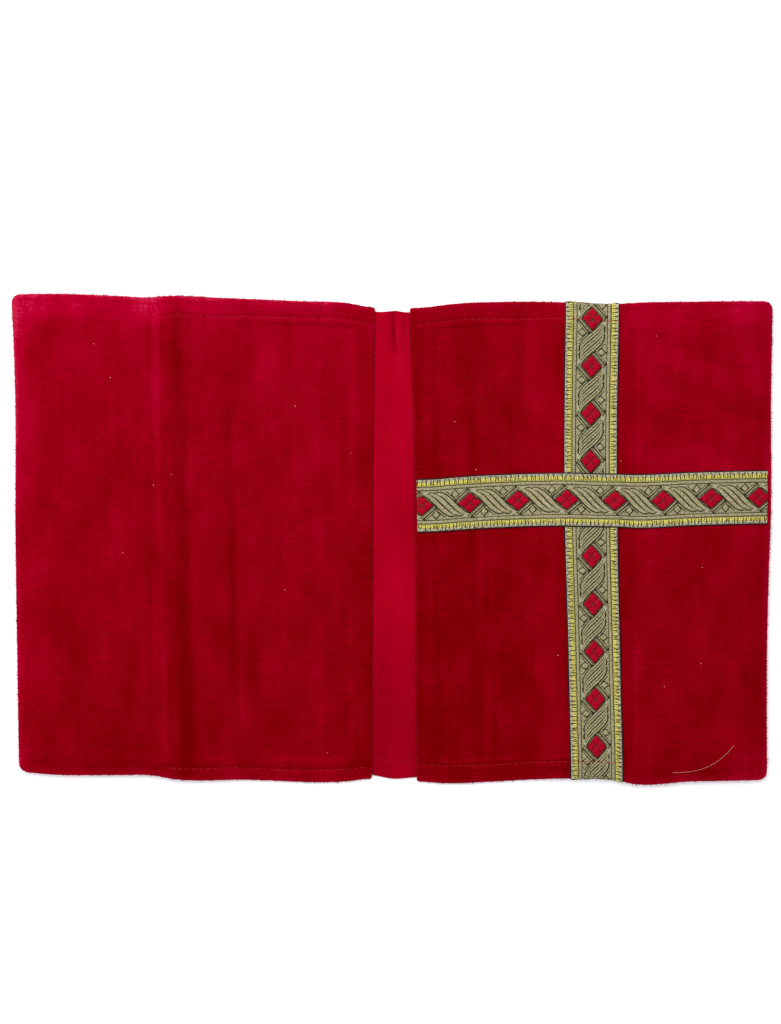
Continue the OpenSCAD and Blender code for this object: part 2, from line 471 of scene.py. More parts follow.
@dataclass(frozen=True)
class ClothBack:
    """The woven back of the velvet: plain weave, duller than the pile."""

    name: str = "cotton_velvet_woven_back"
    warp: str = "84101f"
    weft: str = "620812"
    thread_mm: float = 0.8

    def make(self) -> bpy.types.Material:
        """Makes the material. The threads are drawn twice as coarse as real ones, to show at all."""
        material, tree, shader = new_material(self.name, Roughness=0.9, Specular_IOR_Level=0.15)
        where = add_node(tree, "ShaderNodeTexCoord").outputs["Object"]
        waves = []
        for direction in ("X", "Y"):
            waves.append(add_node(tree, "ShaderNodeTexWave",
                                  {"Vector": where, "Scale": wave_scale(self.thread_mm), "Distortion": 0.6},
                                  bands_direction=direction).outputs["Fac"])
        weave = maths(tree, "MULTIPLY", *waves)
        cloud = noise_of(tree, where, 14.0)
        value = maths(tree, "MULTIPLY_ADD", cloud, 0.6, weave)
        colour = ramp(tree, value, (0.1, self.weft), (0.9, self.warp))
        tree.links.new(colour, shader.inputs["Base Color"])
        relief = add_node(tree, "ShaderNodeBump", {"Strength": 0.4, "Distance": 0.0002, "Height": weave})
        tree.links.new(relief.outputs[0], shader.inputs["Normal"])
        return material


@dataclass(frozen=True)
class PolyesterSatin:
    """Polyester satin: long floats and faint slubs, with the soft sheen along the strip painted into its base colour.
    """

    name: str = "polyester_satin_crimson"
    shade: str = "880014"
    face: str = "9c001a"
    painted_sheen: str = "ae0428"

    def make(self) -> bpy.types.Material:
        """Makes the material."""
        sheen = {"Sheen_Weight": 0.02, "Sheen_Roughness": 0.3, "Sheen_Tint": srgb("ff1838")}
        shine = {"Roughness": 0.45, "Specular_IOR_Level": 0.006, "Specular_Tint": srgb("d02848")}
        material, tree, shader = new_material(self.name, **shine, **sheen)
        where = add_node(tree, "ShaderNodeTexCoord").outputs["Object"]
        slubs = noise_of(tree, where, 0.7, 2.0, (1.0, 22.0, 1.0))
        cloud = noise_of(tree, where, 30.0, 1.0, (0.7, 2.0, 1.0))
        tone_and_painted_light = add_node(tree, "ShaderNodeAttribute", attribute_name="tone_and_painted_light").outputs["Fac"]
        # Base colour with painted light: the head-lit gradient and the painted shadow of the tuck come in with the
        # point attribute, and the soft lighter patches are painted sheen.
        value = maths(tree, "ADD", maths(tree, "MULTIPLY_ADD", slubs, 0.16, cloud), tone_and_painted_light)
        colour = ramp(tree, value, (0.24, self.shade), (0.64, self.face), (1.0, self.painted_sheen))
        tree.links.new(colour, shader.inputs["Base Color"])
        floats = noise_of(tree, where, 0.5, 1.0, (1.0, 30.0, 1.0))
        relief = add_node(tree, "ShaderNodeBump", {"Strength": 0.15, "Distance": 0.0002, "Height": floats})
        tree.links.new(relief.outputs[0], shader.inputs["Normal"])
        return material


@dataclass(frozen=True)
class WovenYarn:
    """Yarn of the galloon: lurex, rayon or cotton picks side by side, which give fine ribs across the band."""

    name: str
    dark: str
    base: str
    light: str
    metallic: float = 0.0
    roughness: float = 0.55
    tint: str = "8aa080"
    tint_share: float = 0.25
    pick_mm: float = 0.7
    specular: float = 0.12

    def make(self) -> bpy.types.Material:
        """Makes the material. The map's U runs along the band, so the picks follow it; they are drawn coarse."""
        material, tree, shader = new_material(self.name, Metallic=self.metallic, Roughness=self.roughness,
                                              Specular_IOR_Level=self.specular)
        along = add_node(tree, "ShaderNodeAttribute", attribute_name="along").outputs["Fac"]
        where = add_node(tree, "ShaderNodeTexCoord").outputs["Object"]
        wobble = noise_of(tree, where, 3.0)
        turns = maths(tree, "MULTIPLY", along, 2 * math.pi / self.pick_mm)
        rib = maths(tree, "SINE", maths(tree, "MULTIPLY_ADD", wobble, 5.0, turns), 0.0)
        fleck = noise_of(tree, where, 0.75, 3.0)
        value = maths(tree, "MULTIPLY_ADD", rib, 0.06, fleck)
        colour = ramp(tree, value, (0.25, self.dark), (0.5, self.base), (0.78, self.light))
        patch = noise_of(tree, where, 2.2, 2.0)
        share = add_node(tree, "ShaderNodeMapRange",
                         {"Value": patch, "From Min": 0.5, "From Max": 0.75, "To Min": 0.0, "To Max": self.tint_share})
        mixed = add_node(tree, "ShaderNodeMix", {"Factor": share.outputs[0], 6: colour, 7: srgb(self.tint)},
                         data_type="RGBA")
        tree.links.new(mixed.outputs[2], shader.inputs["Base Color"])
        relief = add_node(tree, "ShaderNodeBump", {"Strength": 0.5, "Distance": 0.0002, "Height": value})
        tree.links.new(relief.outputs[0], shader.inputs["Normal"])
        return material


@dataclass(frozen=True)
class SpunThread:
    """Two-ply sewing thread: its twist shows as slanting light and dark."""

    name: str
    shade: str
    face: str
    twist_mm: float = 0.6

    def make(self) -> bpy.types.Material:
        """Makes the material. The twist is drawn coarse, to show at all."""
        material, tree, shader = new_material(self.name, Roughness=0.7, Specular_IOR_Level=0.05)
        where = add_node(tree, "ShaderNodeTexCoord").outputs["Object"]
        twist = add_node(tree, "ShaderNodeTexWave",
                         {"Vector": where, "Scale": wave_scale(self.twist_mm), "Distortion": 1.0},
                         bands_direction="DIAGONAL")
        fuzz = noise_of(tree, where, 0.8)
        value = maths(tree, "MULTIPLY_ADD", fuzz, 0.6, maths(tree, "MULTIPLY", twist.outputs["Fac"], 0.5))
        colour = ramp(tree, value, (0.2, self.shade), (0.8, self.face))
        tree.links.new(colour, shader.inputs["Base Color"])
        relief = add_node(tree, "ShaderNodeBump",
                          {"Strength": 0.4, "Distance": 0.0001, "Height": twist.outputs["Fac"]})
        tree.links.new(relief.outputs[0], shader.inputs["Normal"])
        return material


@dataclass(frozen=True)
class StudioPaper:
    """White translucent studio table, lit a little from below, so that it goes to pure white."""

    name: str = "studio_table_white"
    colour: str = "fbfbfb"
    glow: float = 0.24

    def make(self) -> bpy.types.Material:
        """Makes the material, with a faint tooth."""
        material, tree, shader = new_material(self.name, Roughness=0.9, Specular_IOR_Level=0.1,
                                              Emission_Color=srgb("f6f8ff"), Emission_Strength=self.glow)
        where = add_node(tree, "ShaderNodeTexCoord").outputs["Object"]
        tooth = noise_of(tree, where, 2.0)
        colour = ramp(tree, tooth, (0.0, "f8f8f8"), (1.0, self.colour))
        tree.links.new(colour, shader.inputs["Base Color"])
        return material


class Finishes:
    """Every finish on the cover, made once."""

    def __init__(self) -> None:
        """Makes the materials."""
        self.velvet = CottonVelvet().make()
        self.back = ClothBack().make()
        self.satin = PolyesterSatin().make()
        self.gold = WovenYarn("lurex_old_gold", "5e5636", "968c68", "b8b088", tint="78896a").make()
        self.pale = WovenYarn("lurex_pale_gold", "8c8264", "bcae8a", "d4c8a8", tint="a4b090").make()
        self.field = WovenYarn("rayon_gold_ground", "585036", "8e8663", "b0a780", tint="788c6c").make()
        self.olive = WovenYarn("rayon_dark_olive", "18140c", "2a2412", "443c24", tint_share=0.0).make()
        self.grey_green = WovenYarn("rayon_grey_green", "6a6850", "9c9a7c", "beba9e", tint="8ea482").make()
        self.yellow = WovenYarn("rayon_bright_yellow", "948838", "c4ba54", "e2dc7c", tint="a4ac68").make()
        self.red = WovenYarn("rayon_crimson", "760012", "a0001e", "b60026", tint_share=0.0, specular=0.04).make()
        self.straw = WovenYarn("rayon_straw_ground", "686238", "989054", "bcb46c", tint="90966c").make()
        self.navy = WovenYarn("cotton_navy_selvedge", "0c080c", "18101a", "28202a", tint_share=0.0).make()
        self.red_thread = SpunThread("polyester_thread_crimson", "80020e", "b01830").make()
        self.dark_thread = SpunThread("polyester_thread_dark", "1c1420", "3a2c38").make()
        self.lint = SpunThread("cotton_lint_pink", "c47078", "ecb8b4").make()


# ------------------------------------------------------------------------------------------ how the cloth lies


class Side(Enum):
    """The two halves of the cover, with the sign of X on each."""

    BACK = -1
    FRONT = 1

    @property
    def word(self) -> str:
        """The half's name, as the CAD nodes and bodies use it."""
        return self.name.lower()


@dataclass(frozen=True)
class Measures:
    """Sizes of the cover in millimetres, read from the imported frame."""

    seam: float = abs(frame["joints"][0]["pos_m"][0]) / MM
    turn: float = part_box("front_panel")[0][0] / MM
    fore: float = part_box("front_panel")[1][0] / MM
    head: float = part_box("front_panel")[1][1] / MM
    mouth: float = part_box("front_pocket")[0][0] / MM
    satin_head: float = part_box("spine_strip")[1][1] / MM
    upright_in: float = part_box("upright_band")[0][0] / MM
    upright_out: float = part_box("upright_band")[1][0] / MM
    cross_low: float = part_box("cross_band")[0][1] / MM
    cross_high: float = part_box("cross_band")[1][1] / MM
    cross_out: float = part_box("cross_band")[1][0] / MM
    cloth: float = 0.8
    fold: float = 0.85
    hem: float = 9.0
    hem_row: float = 8.0
    allowance: float = 3.0
    pitch: float = 3.3
    stitch: float = 2.6


@dataclass(frozen=True)
class Crease:
    """A soft valley in the cloth from one place to another."""

    start: tuple[float, float]
    end: tuple[float, float]
    depth: float
    width: float

    def depth_at(self, x: np.ndarray, y: np.ndarray) -> np.ndarray:
        """How deep the crease is at each place."""
        a, b = np.array(self.start), np.array(self.end)
        run = b - a
        t = ((x - a[0]) * run[0] + (y - a[1]) * run[1]) / (run @ run)
        off = np.hypot(x - a[0] - t * run[0], y - a[1] - t * run[1])
        ends = smooth(-0.15, 0.2, t) * (1 - smooth(0.8, 1.15, t))
        return self.depth * ends * bump(0, self.width, off)


HEAD_EDGE = Line([(-180, 115.0), (-150, 115.2), (-128, 114.3), (-113, 113.6), (-106, 114.2), (-80, 113.4),
                  (-44, 112.0), (-22, 111.0), (-13, 109.3), (-6, 109.0), (0, 109.4), (7, 108.8), (14, 108.9),
                  (30, 110.8), (56, 111.7), (80, 111.3), (103, 110.2), (108, 110.7), (140, 111.6), (180, 111.9)])
TAIL_EDGE = Line([(-180, -107.3), (-160, -109.2), (-130, -109.4), (-112, -109.7), (-104, -111.1), (-70, -111.7),
                  (-20, -112.3), (-12, -111.4), (0, -113.3), (10, -112.6), (24, -113.4), (44, -112.7),
                  (66, -111.5), (84, -111.0), (104, -111.5), (110, -113.1), (140, -112.4), (180, -111.6)])
BACK_FORE_LEAN = Line([(0, 1.0), (0.25, 0.1), (0.5, -0.7), (0.8, -0.9), (0.93, -1.9), (1, -2.7)])
FRONT_FORE_LEAN = Line([(0, -1.9), (0.3, -1.8), (0.45, -0.9), (0.55, -0.1), (0.8, 0.0), (1, 0.8)])
BACK_SEAM_LEAN = Line([(0, -0.3), (0.3, -0.2), (0.6, 0.1), (0.8, 0.6), (0.96, 1.2), (1, 1.3)])
FRONT_SEAM_LEAN = Line([(0, 0.5), (0.3, 0.4), (0.6, -0.3), (0.8, -1.1), (0.96, -2.6), (1, -2.9)])
CREASES = [
    Crease((-75.5, 70), (-72, -95), 0.45, 2.0),
    Crease((-28.5, 104), (-28.5, -104), 0.35, 3.2),
    Crease((-60, 96), (-88, 20), 0.25, 7.0),
    Crease((-140, 80), (-128, -60), 0.3, 9.0),
    Crease((38, 70), (40, -96), 0.4, 2.4),
    Crease((44, -20), (42, -108), 0.35, 1.8),
    Crease((116, 95), (170, 74), 0.9, 4.2),
    Crease((118, 76), (173, 52), 0.9, 4.2),
    Crease((122, 56), (173, 30), 0.7, 4.2),
    Crease((126, -30), (150, -90), 0.6, 6.0),
]


class Lie:
    """The one surface that every piece of the cover follows: where each place of the flat cover really lies."""

    def __init__(self, sizes: Measures) -> None:
        """Keeps the sizes."""
        self.sizes = sizes

    def plan(self, x: np.ndarray, y: np.ndarray) -> tuple[np.ndarray, np.ndarray]:
        """Moves places of the even, flat cover to where the limp one has them.

        Args:
            x: Places across the cover.
            y: Places from tail to head.

        Returns:
            The new x and y.
        """
        s = self.sizes
        x, y = np.asarray(x, float), np.asarray(y, float)
        t = np.clip((y + s.head) / (2 * s.head), 0, 1)
        beyond = y - np.clip(y, -s.head, s.head)
        low, high = TAIL_EDGE(x), HEAD_EDGE(x)
        out = smooth(60, s.fore, np.abs(x))
        near = np.exp(-np.maximum(np.abs(x) - s.seam, 0) / 22) * np.clip(np.abs(x) / s.seam, 0, 1)
        front = x > 0
        lean = np.where(front, FRONT_FORE_LEAN(t), BACK_FORE_LEAN(t)) * out
        lean = lean + np.where(front, FRONT_SEAM_LEAN(t), BACK_SEAM_LEAN(t)) * near
        return x + lean, low + (high - low) * t + beyond

    def ridge(self, y: np.ndarray) -> np.ndarray:
        """Distance from the spine of the ridge over the back pocket's mouth, which slants a little."""
        return self.sizes.mouth + 0.3 + 2.3 * np.asarray(y, float) / self.sizes.head

    def hem_inset(self, x: np.ndarray, y: np.ndarray) -> np.ndarray:
        """Distance of the hem's stitches from the folded edge: less at the back's tail, more towards its head."""
        x, y = np.asarray(x, float), np.asarray(y, float)
        back = np.where(y < 0, -2.6, 1.3 * smooth(60, 95, np.abs(x)))
        return self.sizes.hem_row + np.where(x < 0, back, 0.0)

    def height(self, x: np.ndarray, y: np.ndarray) -> np.ndarray:
        """Height of the velvet's outer face above the table at each place of the flat cover."""
        s = self.sizes
        x, y = np.asarray(x, float), np.asarray(y, float)
        a, e = np.abs(x), s.head - np.abs(y)
        front = x > 0
        hem = 1 - smooth(9, 12, e)
        turned = 1 - smooth(8, 12, a - s.seam)
        low = 1.55 + 0.5 * np.maximum(hem, turned)
        foot = a - self.ridge(y)
        rise = np.where(front, smooth(54, 80, a), 0.54 * smooth(50, 98, a) + 0.46 * smooth(-12.5, -4, foot))
        edge = 2.05 + 1.45 * smooth(56, s.mouth - 4, a)
        inner = 1.55 + 4.6 * rise
        from_head = 1 - (1 - np.clip(e / 20, 0, 1)) ** 2.6
        from_fore = 1 - (1 - np.clip((s.fore - a) / 20, 0, 1)) ** 2.6
        raised = edge + np.maximum(inner - edge, 0) * np.minimum(from_head, 1) * from_fore
        share = smooth(48, 76, a)
        h = (1 - share) * low + share * raised
        before_mouth = 1 - smooth(s.mouth - 1, s.mouth + 2, a)
        h = h + 0.3 * hem * share * before_mouth
        h = h - 0.32 * bump(0, 0.8, e - self.hem_inset(x, y)) * before_mouth
        crest = np.where(front, 0.25 * bump(s.mouth - 2.2, 2.6, a), 0.45 * bump(0, 2.2, foot)) * smooth(4, 16, e)
        h = h + crest - 0.22 * bump(s.mouth + 5.2, 1.0, a) * smooth(4, 14, e)
        inside = smooth(3, 16, e) * smooth(3, 14, s.fore - a) * smooth(2, 9, a - s.seam)
        for crease in CREASES:
            h = h - crease.depth_at(x, y) * inside
        wave = np.sin(x / 13 + 1.7 * np.sin(y / 31)) * np.sin(y / 19 + 0.9 * np.sin(x / 23))
        pucker = np.sin(x / 2.1 + 2.0 * np.sin(x / 9)) * bump(s.hem_row, 5, e) * before_mouth
        return h + 0.16 * wave * inside + 0.07 * pucker

    def place(self, x: np.ndarray, y: np.ndarray, lift: np.ndarray | float = 0.0) -> np.ndarray:
        """Points on or above the outer face, in millimetres.

        Args:
            x: Places across the flat cover.
            y: Places along it. Past the folded head or tail edge, they carry on round the fold and underneath.
            lift: Height above the outer face.

        Returns:
            The points, one row each.
        """
        s = self.sizes
        x, y = np.broadcast_arrays(np.asarray(x, float), np.asarray(y, float))
        edge = s.head - s.fold
        past = np.maximum(np.abs(y) - edge, 0)
        turn = np.clip(past / s.fold, 0, math.pi)
        under = np.maximum(past - math.pi * s.fold, 0)
        flat = np.sign(y) * (np.minimum(np.abs(y), edge) - under)
        radius = s.fold + np.asarray(lift, float)
        px, py = self.plan(x, flat)
        py = py + np.sign(y) * radius * np.sin(turn) * (past > 0)
        pz = self.height(x, flat) - s.fold + radius * np.cos(turn)
        return np.stack([px, py, pz], axis=-1)

    def tone_and_painted_light(self, x: np.ndarray, y: np.ndarray) -> np.ndarray:
        """Tone of the pile at each place, with painted light and shade: lighter towards the head, on slopes that face
        the head or the left and along the folded edges, darker in the dips and in the seam groove.
        """
        s = self.sizes
        step = 0.6
        slope = (self.height(x + step, y) - self.height(x - step, y)) / (2 * step)
        slope = slope - 0.9 * (self.height(x, y + step) - self.height(x, y - step)) / (2 * step) * (np.abs(y) < 108)
        a = np.abs(x)
        t = (np.asarray(y, float) + s.head) / (2 * s.head)
        # Painted light from the head end: lighter towards the head, more so at the back half's head.
        tone_and_painted_light = 0.26 + 0.05 * (x < 0) + 0.2 * smooth(0.2, 1.05, t) + 0.2 * smooth(0.9, 1.02, t) * (x < 0)
        # Painted shade from slopes: lighter where the surface faces the left or the head, darker where it faces away.
        tone_and_painted_light = tone_and_painted_light + 0.6 * np.clip(slope, -0.25, 0.2)
        tone_and_painted_light = tone_and_painted_light - 0.14 * (x > 0) * (1 - smooth(84, 112, a)) + 0.13 * (x > 0) * smooth(148, s.fore, a)
        tone_and_painted_light = tone_and_painted_light - 0.11 * (x < 0) * (1 - smooth(24, 34, a)) - 0.03 * (x < 0) * smooth(94, 106, a)
        ridge = self.ridge(y)
        # Painted highlight on the crest over the back pocket's mouth, painted shade on the slope below it, mostly
        # towards the tail.
        tone_and_painted_light = tone_and_painted_light + (x < 0) * (0.1 * bump(ridge, 2.0, a) - (0.2 - 0.26 * t) * bump(ridge - 8.3, 3.2, a))
        edge = np.minimum(s.head - np.abs(y), s.fore - a)
        # Painted highlight along the head, tail and fore edges, where the pile catches the light.
        tone_and_painted_light = tone_and_painted_light + 0.25 * bump(0, 2.0, edge) + 0.1 * bump(0, 4.0, s.fore - a)
        tone_and_painted_light = tone_and_painted_light + 0.07 * (1 - smooth(11, 13, s.head - np.abs(y))) * smooth(s.mouth, s.mouth + 6, a)
        # Painted shade in the seam groove beside the spine.
        return tone_and_painted_light - 0.08 * bump(0, 2.6, a - s.seam)


class Room(Enum):
    """How a fold goes: over the top and under, or under the bottom and up."""

    DOWN = -1
    UP = 1


@dataclass
class FoldedSheet:
    """A piece of velvet with all four edges turned in: how its cut becomes its shape."""

    lie: Lie
    side: Side
    inner: float
    inner_turn: float
    outer_turn: float
    corner: float = 4.0
    room: Room = Room.DOWN
    base: float = 0.0

    def columns(self) -> np.ndarray:
        """Places of the cut across the sheet, finer round the folds."""
        s = self.lie.sizes
        arc = math.pi * s.fold
        low, high = self.inner + s.fold, s.fore - s.fold
        marks = stations((low - arc - self.inner_turn, low - arc, 1.5), (low - arc, low + 0.6, 0.45),
                         (low + 0.6, high - 0.6, 1.45), (high - 0.6, high + arc, 0.45),
                         (high + arc, high + arc + self.outer_turn, 1.5))
        return marks if self.side is Side.FRONT else -marks[::-1]

    def rows(self) -> np.ndarray:
        """Places of the cut along the sheet, finer round the folds."""
        s = self.lie.sizes
        arc = math.pi * s.fold
        edge = s.head - s.fold
        half = stations((0.0, edge - 12, 1.45), (edge - 12, edge - 0.6, 0.9), (edge - 0.6, edge + arc, 0.45),
                        (edge + arc, edge + arc + s.hem, 1.5))
        return np.r_[-half[:0:-1], half]

    def shape(self, u: np.ndarray, v: np.ndarray) -> tuple[np.ndarray, np.ndarray, np.ndarray]:
        """Folds the cut's edges in.

        Args:
            u: Places across the cut.
            v: Places along the cut.

        Returns:
            The points in millimetres, the place of each on the flat cover with the folds in, and how far round
            the fold each point is, in millimetres of cloth.
        """
        s = self.lie.sizes
        sign = self.side.value
        a, low, high, top = u * sign, self.inner + s.fold, s.fore - s.fold, s.head - s.fold
        corner = np.where(a > (low + high) / 2, self.corner - s.fold, 0.3)
        core_a = np.clip(a, low + corner, high - corner)
        core_v = np.clip(v, -top + corner, top - corner)
        da, dv = a - core_a, v - core_v
        away = np.maximum(np.hypot(da, dv), 1e-9)
        past = np.maximum(away - corner, 0)
        na, nv = da / away, dv / away
        arc = math.pi * s.fold
        short = (np.abs(v) > top) & (a > s.mouth)
        deep = np.maximum(past - arc, 0)
        deep = np.where(short, deep * self.outer_turn / s.hem, deep)
        turn = np.clip(past / s.fold, 0, math.pi)
        rim_a, rim_v = core_a + na * corner, core_v + nv * corner
        flat_a = np.where(past > 0, rim_a - na * deep, a)
        flat_v = np.where(past > 0, rim_v - nv * deep, v)
        px, py = self.lie.plan(flat_a * sign, flat_v)
        reach = s.fold * np.sin(turn)
        px, py = px + na * reach * sign, py + nv * reach
        drop = s.fold * (1 - np.cos(turn))
        if self.room is Room.DOWN:
            pz = np.maximum(self.lie.height(flat_a * sign, flat_v) - drop, 0.02)
        else:
            pz = self.base + drop
        return np.stack([px, py, pz], axis=-1), np.stack([flat_a * sign, flat_v], axis=-1), past

    def make(self, name: str, finishes: Finishes) -> bpy.types.Object:
        """Makes the sheet.

        Args:
            name: Name of the piece.
            finishes: The cover's finishes.

        Returns:
            The finished mesh.
        """
        s = self.lie.sizes
        u, v = self.columns(), self.rows()
        piece, pu, pv = cloth_grid(name, u, v)
        at, flat, past = self.shape(pu, pv)
        write_points(piece, at * MM)
        a = pu * self.side.value
        arc = math.pi * s.fold
        low, high, top = self.inner + s.fold, s.fore - s.fold, s.head - s.fold
        spare = (np.abs(pv) > top) & ((a < low) | (a > high)) & (past > arc + 0.4)
        delete_points(piece, spare)
        keep = ~spare
        tone_and_painted_light = self.lie.tone_and_painted_light(flat[keep, 0], flat[keep, 1])
        # Painted highlight round the folded edges.
        tone_and_painted_light = tone_and_painted_light + (0.25 * np.sin(np.clip(past[keep] / s.fold, 0, math.pi)))
        if self.room is Room.UP:
            tone_and_painted_light = 0.42 + 0.1 * np.sin(flat[keep, 0] / 17) * np.sin(flat[keep, 1] / 29)
            in_edit_mode(piece, bpy.ops.mesh.flip_normals)
        store(piece, "tone_and_painted_light", tone_and_painted_light)
        dress(piece, finishes.velvet, finishes.back)
        apply_modifier(piece, "SOLIDIFY", thickness=s.cloth * MM, offset=-1, material_offset=1,
                       material_offset_rim=1)
        finish_mesh(piece)
        return piece


# ------------------------------------------------------------------------------------------- pile and thread


def tuft_shape() -> bpy.types.Object:
    """Models one tuft of pile: a spike 1 long on X, with its root at the origin."""
    deselect()
    bpy.ops.mesh.primitive_cone_add(vertices=3, radius1=1.0, radius2=0.0, depth=1.0, location=(0.5, 0, 0),
                                    rotation=(0, math.pi / 2, 0))
    bpy.ops.object.transform_apply(location=True, rotation=True, scale=True)
    return bpy.context.active_object


def stitch_shape() -> bpy.types.Object:
    """Models one stitch: a plump length of thread, 2 long on X and 2 thick, whose ends dip into the cloth."""
    deselect()
    bpy.ops.mesh.primitive_uv_sphere_add(segments=8, ring_count=8, radius=1.0, rotation=(0, math.pi / 2, 0))
    bpy.ops.object.transform_apply(location=True, rotation=True, scale=True)
    piece = bpy.context.active_object
    at = read_points(piece)
    at[:, 0] = np.sign(at[:, 0]) * np.abs(at[:, 0]) ** 0.8
    at[:, 2] -= 0.9 * at[:, 0] ** 4
    write_points(piece, at)
    return piece


@dataclass
class PileFringe:
    """Pile that stands out from the folded edges of a velvet sheet and makes its outline soft."""

    sheet: FoldedSheet
    per_mm: float = 4.0
    length: tuple[float, float] = (0.4, 1.5)
    radius: float = 0.15
    inside: float = 1.6
    seed: int = 7

    def make(self, name: str, finishes: Finishes) -> bpy.types.Object:
        """Makes the fringe.

        Args:
            name: Name of the piece.
            finishes: The cover's finishes.

        Returns:
            The finished mesh.
        """
        s, sheet = self.sheet.lie.sizes, self.sheet
        rng = random.Random(self.seed)
        low, high, top = sheet.inner + s.fold, s.fore - s.fold, s.head - s.fold
        corner = sheet.corner - s.fold
        marks = []
        for _ in range(int((2 * (high - low) + 2 * top) * self.per_mm)):
            past = s.fold * math.pi * rng.uniform(0.08, 0.62)
            pick = rng.uniform(0, 2 * (high - low) + 2 * top)
            if pick < 2 * (high - low - corner):
                marks.append((rng.uniform(low, high - corner), rng.choice((-1, 1)) * (top + past)))
            elif pick < 2 * (high - low):
                turn, end = rng.uniform(0, math.pi / 2), rng.choice((-1, 1))
                reach = corner + past
                marks.append((high - corner + reach * math.cos(turn), end * (top - corner + reach * math.sin(turn))))
            else:
                marks.append((high + past, rng.uniform(corner - top, top - corner)))
        for _ in range(int(2 * top * self.per_mm * 0.6)):
            marks.append((low - s.fold * math.pi * rng.uniform(0.05, 0.5), rng.uniform(-top, top)))
        folded = len(marks)
        for _ in range(int(2 * (high - low + top) * self.inside)):
            reach = abs(rng.gauss(0, 2.4))
            if rng.random() < (high - low) / (high - low + top):
                marks.append((rng.uniform(low, high), rng.choice((-1, 1)) * (top - reach)))
            else:
                marks.append((high - reach, rng.uniform(-top, top)))
        cut = np.array(marks)
        at, flat, _ = sheet.shape(cut[:, 0] * sheet.side.value, cut[:, 1])
        px, py = sheet.lie.plan(flat[:, 0], flat[:, 1])
        down = sheet.room is Room.DOWN
        middle = sheet.lie.height(flat[:, 0], flat[:, 1]) - s.fold if down else sheet.base + s.fold
        roots = np.stack([px, py, np.broadcast_to(middle, px.shape)], axis=-1)
        places = []
        for i, (root, mark, (a, v)) in enumerate(zip(roots, at, marks)):
            out = mark - root
            out = out / max(np.linalg.norm(out), 1e-6) + np.array([rng.gauss(0, 0.32) for _ in range(3)])
            if i >= folded:
                out = np.array([rng.gauss(0, 1.0), rng.gauss(0, 1.0), 0.35])
            clump = 0.75 + 0.4 * math.sin(a * 2.3 + 2 * math.sin(v * 1.9)) * math.sin(v * 2.6 + a)
            size = rng.uniform(*self.length) * (0.35 if a < low else clump)
            start = root + (mark - root) * 0.9
            start[2] = max(start[2], self.radius + 0.05)
            if start[2] + out[2] * size < self.radius + 0.05:
                out[2] = 0.0
            places.append(facing(start, out, (0.02, 0.01, 1.0), (size, self.radius, self.radius)))
        piece = many(name, tuft_shape(), places)
        shade = [rng.uniform(0.2, 1.15) for _ in places]
        store(piece, "tone_and_painted_light", np.repeat(shade, len(piece.data.vertices) // len(places)))
        finish_mesh(piece, finishes.velvet)
        return piece


@dataclass
class StitchRow:
    """A row of machine stitches along a line on the cloth."""

    lie: Lie
    radius: float = 0.19
    seed: int = 3

    def places(self, line, start: float, end: float, skip=None, up: float = 1.0) -> list[Matrix]:
        """Works out where the stitches go.

        Args:
            line: Gives the point in millimetres at each place along the row.
            start: Place where the row starts.
            end: Place where it ends.
            skip: Says whether a stitch at a place is left out.
            up: 1 on the upper side of a cloth, -1 on its underside.

        Returns:
            One placement for each stitch.
        """
        s, rng = self.lie.sizes, random.Random(self.seed)
        count = int((end - start + s.pitch - s.stitch) // s.pitch)
        first = (start + end - (count - 1) * s.pitch) / 2
        found = []
        for i in range(count):
            middle = first + i * s.pitch
            if skip is not None and skip(middle):
                continue
            a, b = line(middle - s.stitch / 2), line(middle + s.stitch / 2)
            reach = (b - a) * (1 + rng.uniform(-0.05, 0.05))
            slant = np.array([rng.gauss(0, 0.03), rng.gauss(0, 0.03), 0.0]) * s.stitch
            size = (np.linalg.norm(reach) / 2, self.radius, self.radius)
            found.append(facing((a + b) / 2, reach + slant, (0.0, 0.0, up), size))
        return found

    def make(self, name: str, places: list[Matrix], thread: bpy.types.Material) -> bpy.types.Object:
        """Makes the rows as one mesh."""
        piece = many(name, stitch_shape(), places)
        finish_mesh(piece, thread)
        return piece


# ---------------------------------------------------------------------------------------------- the two halves


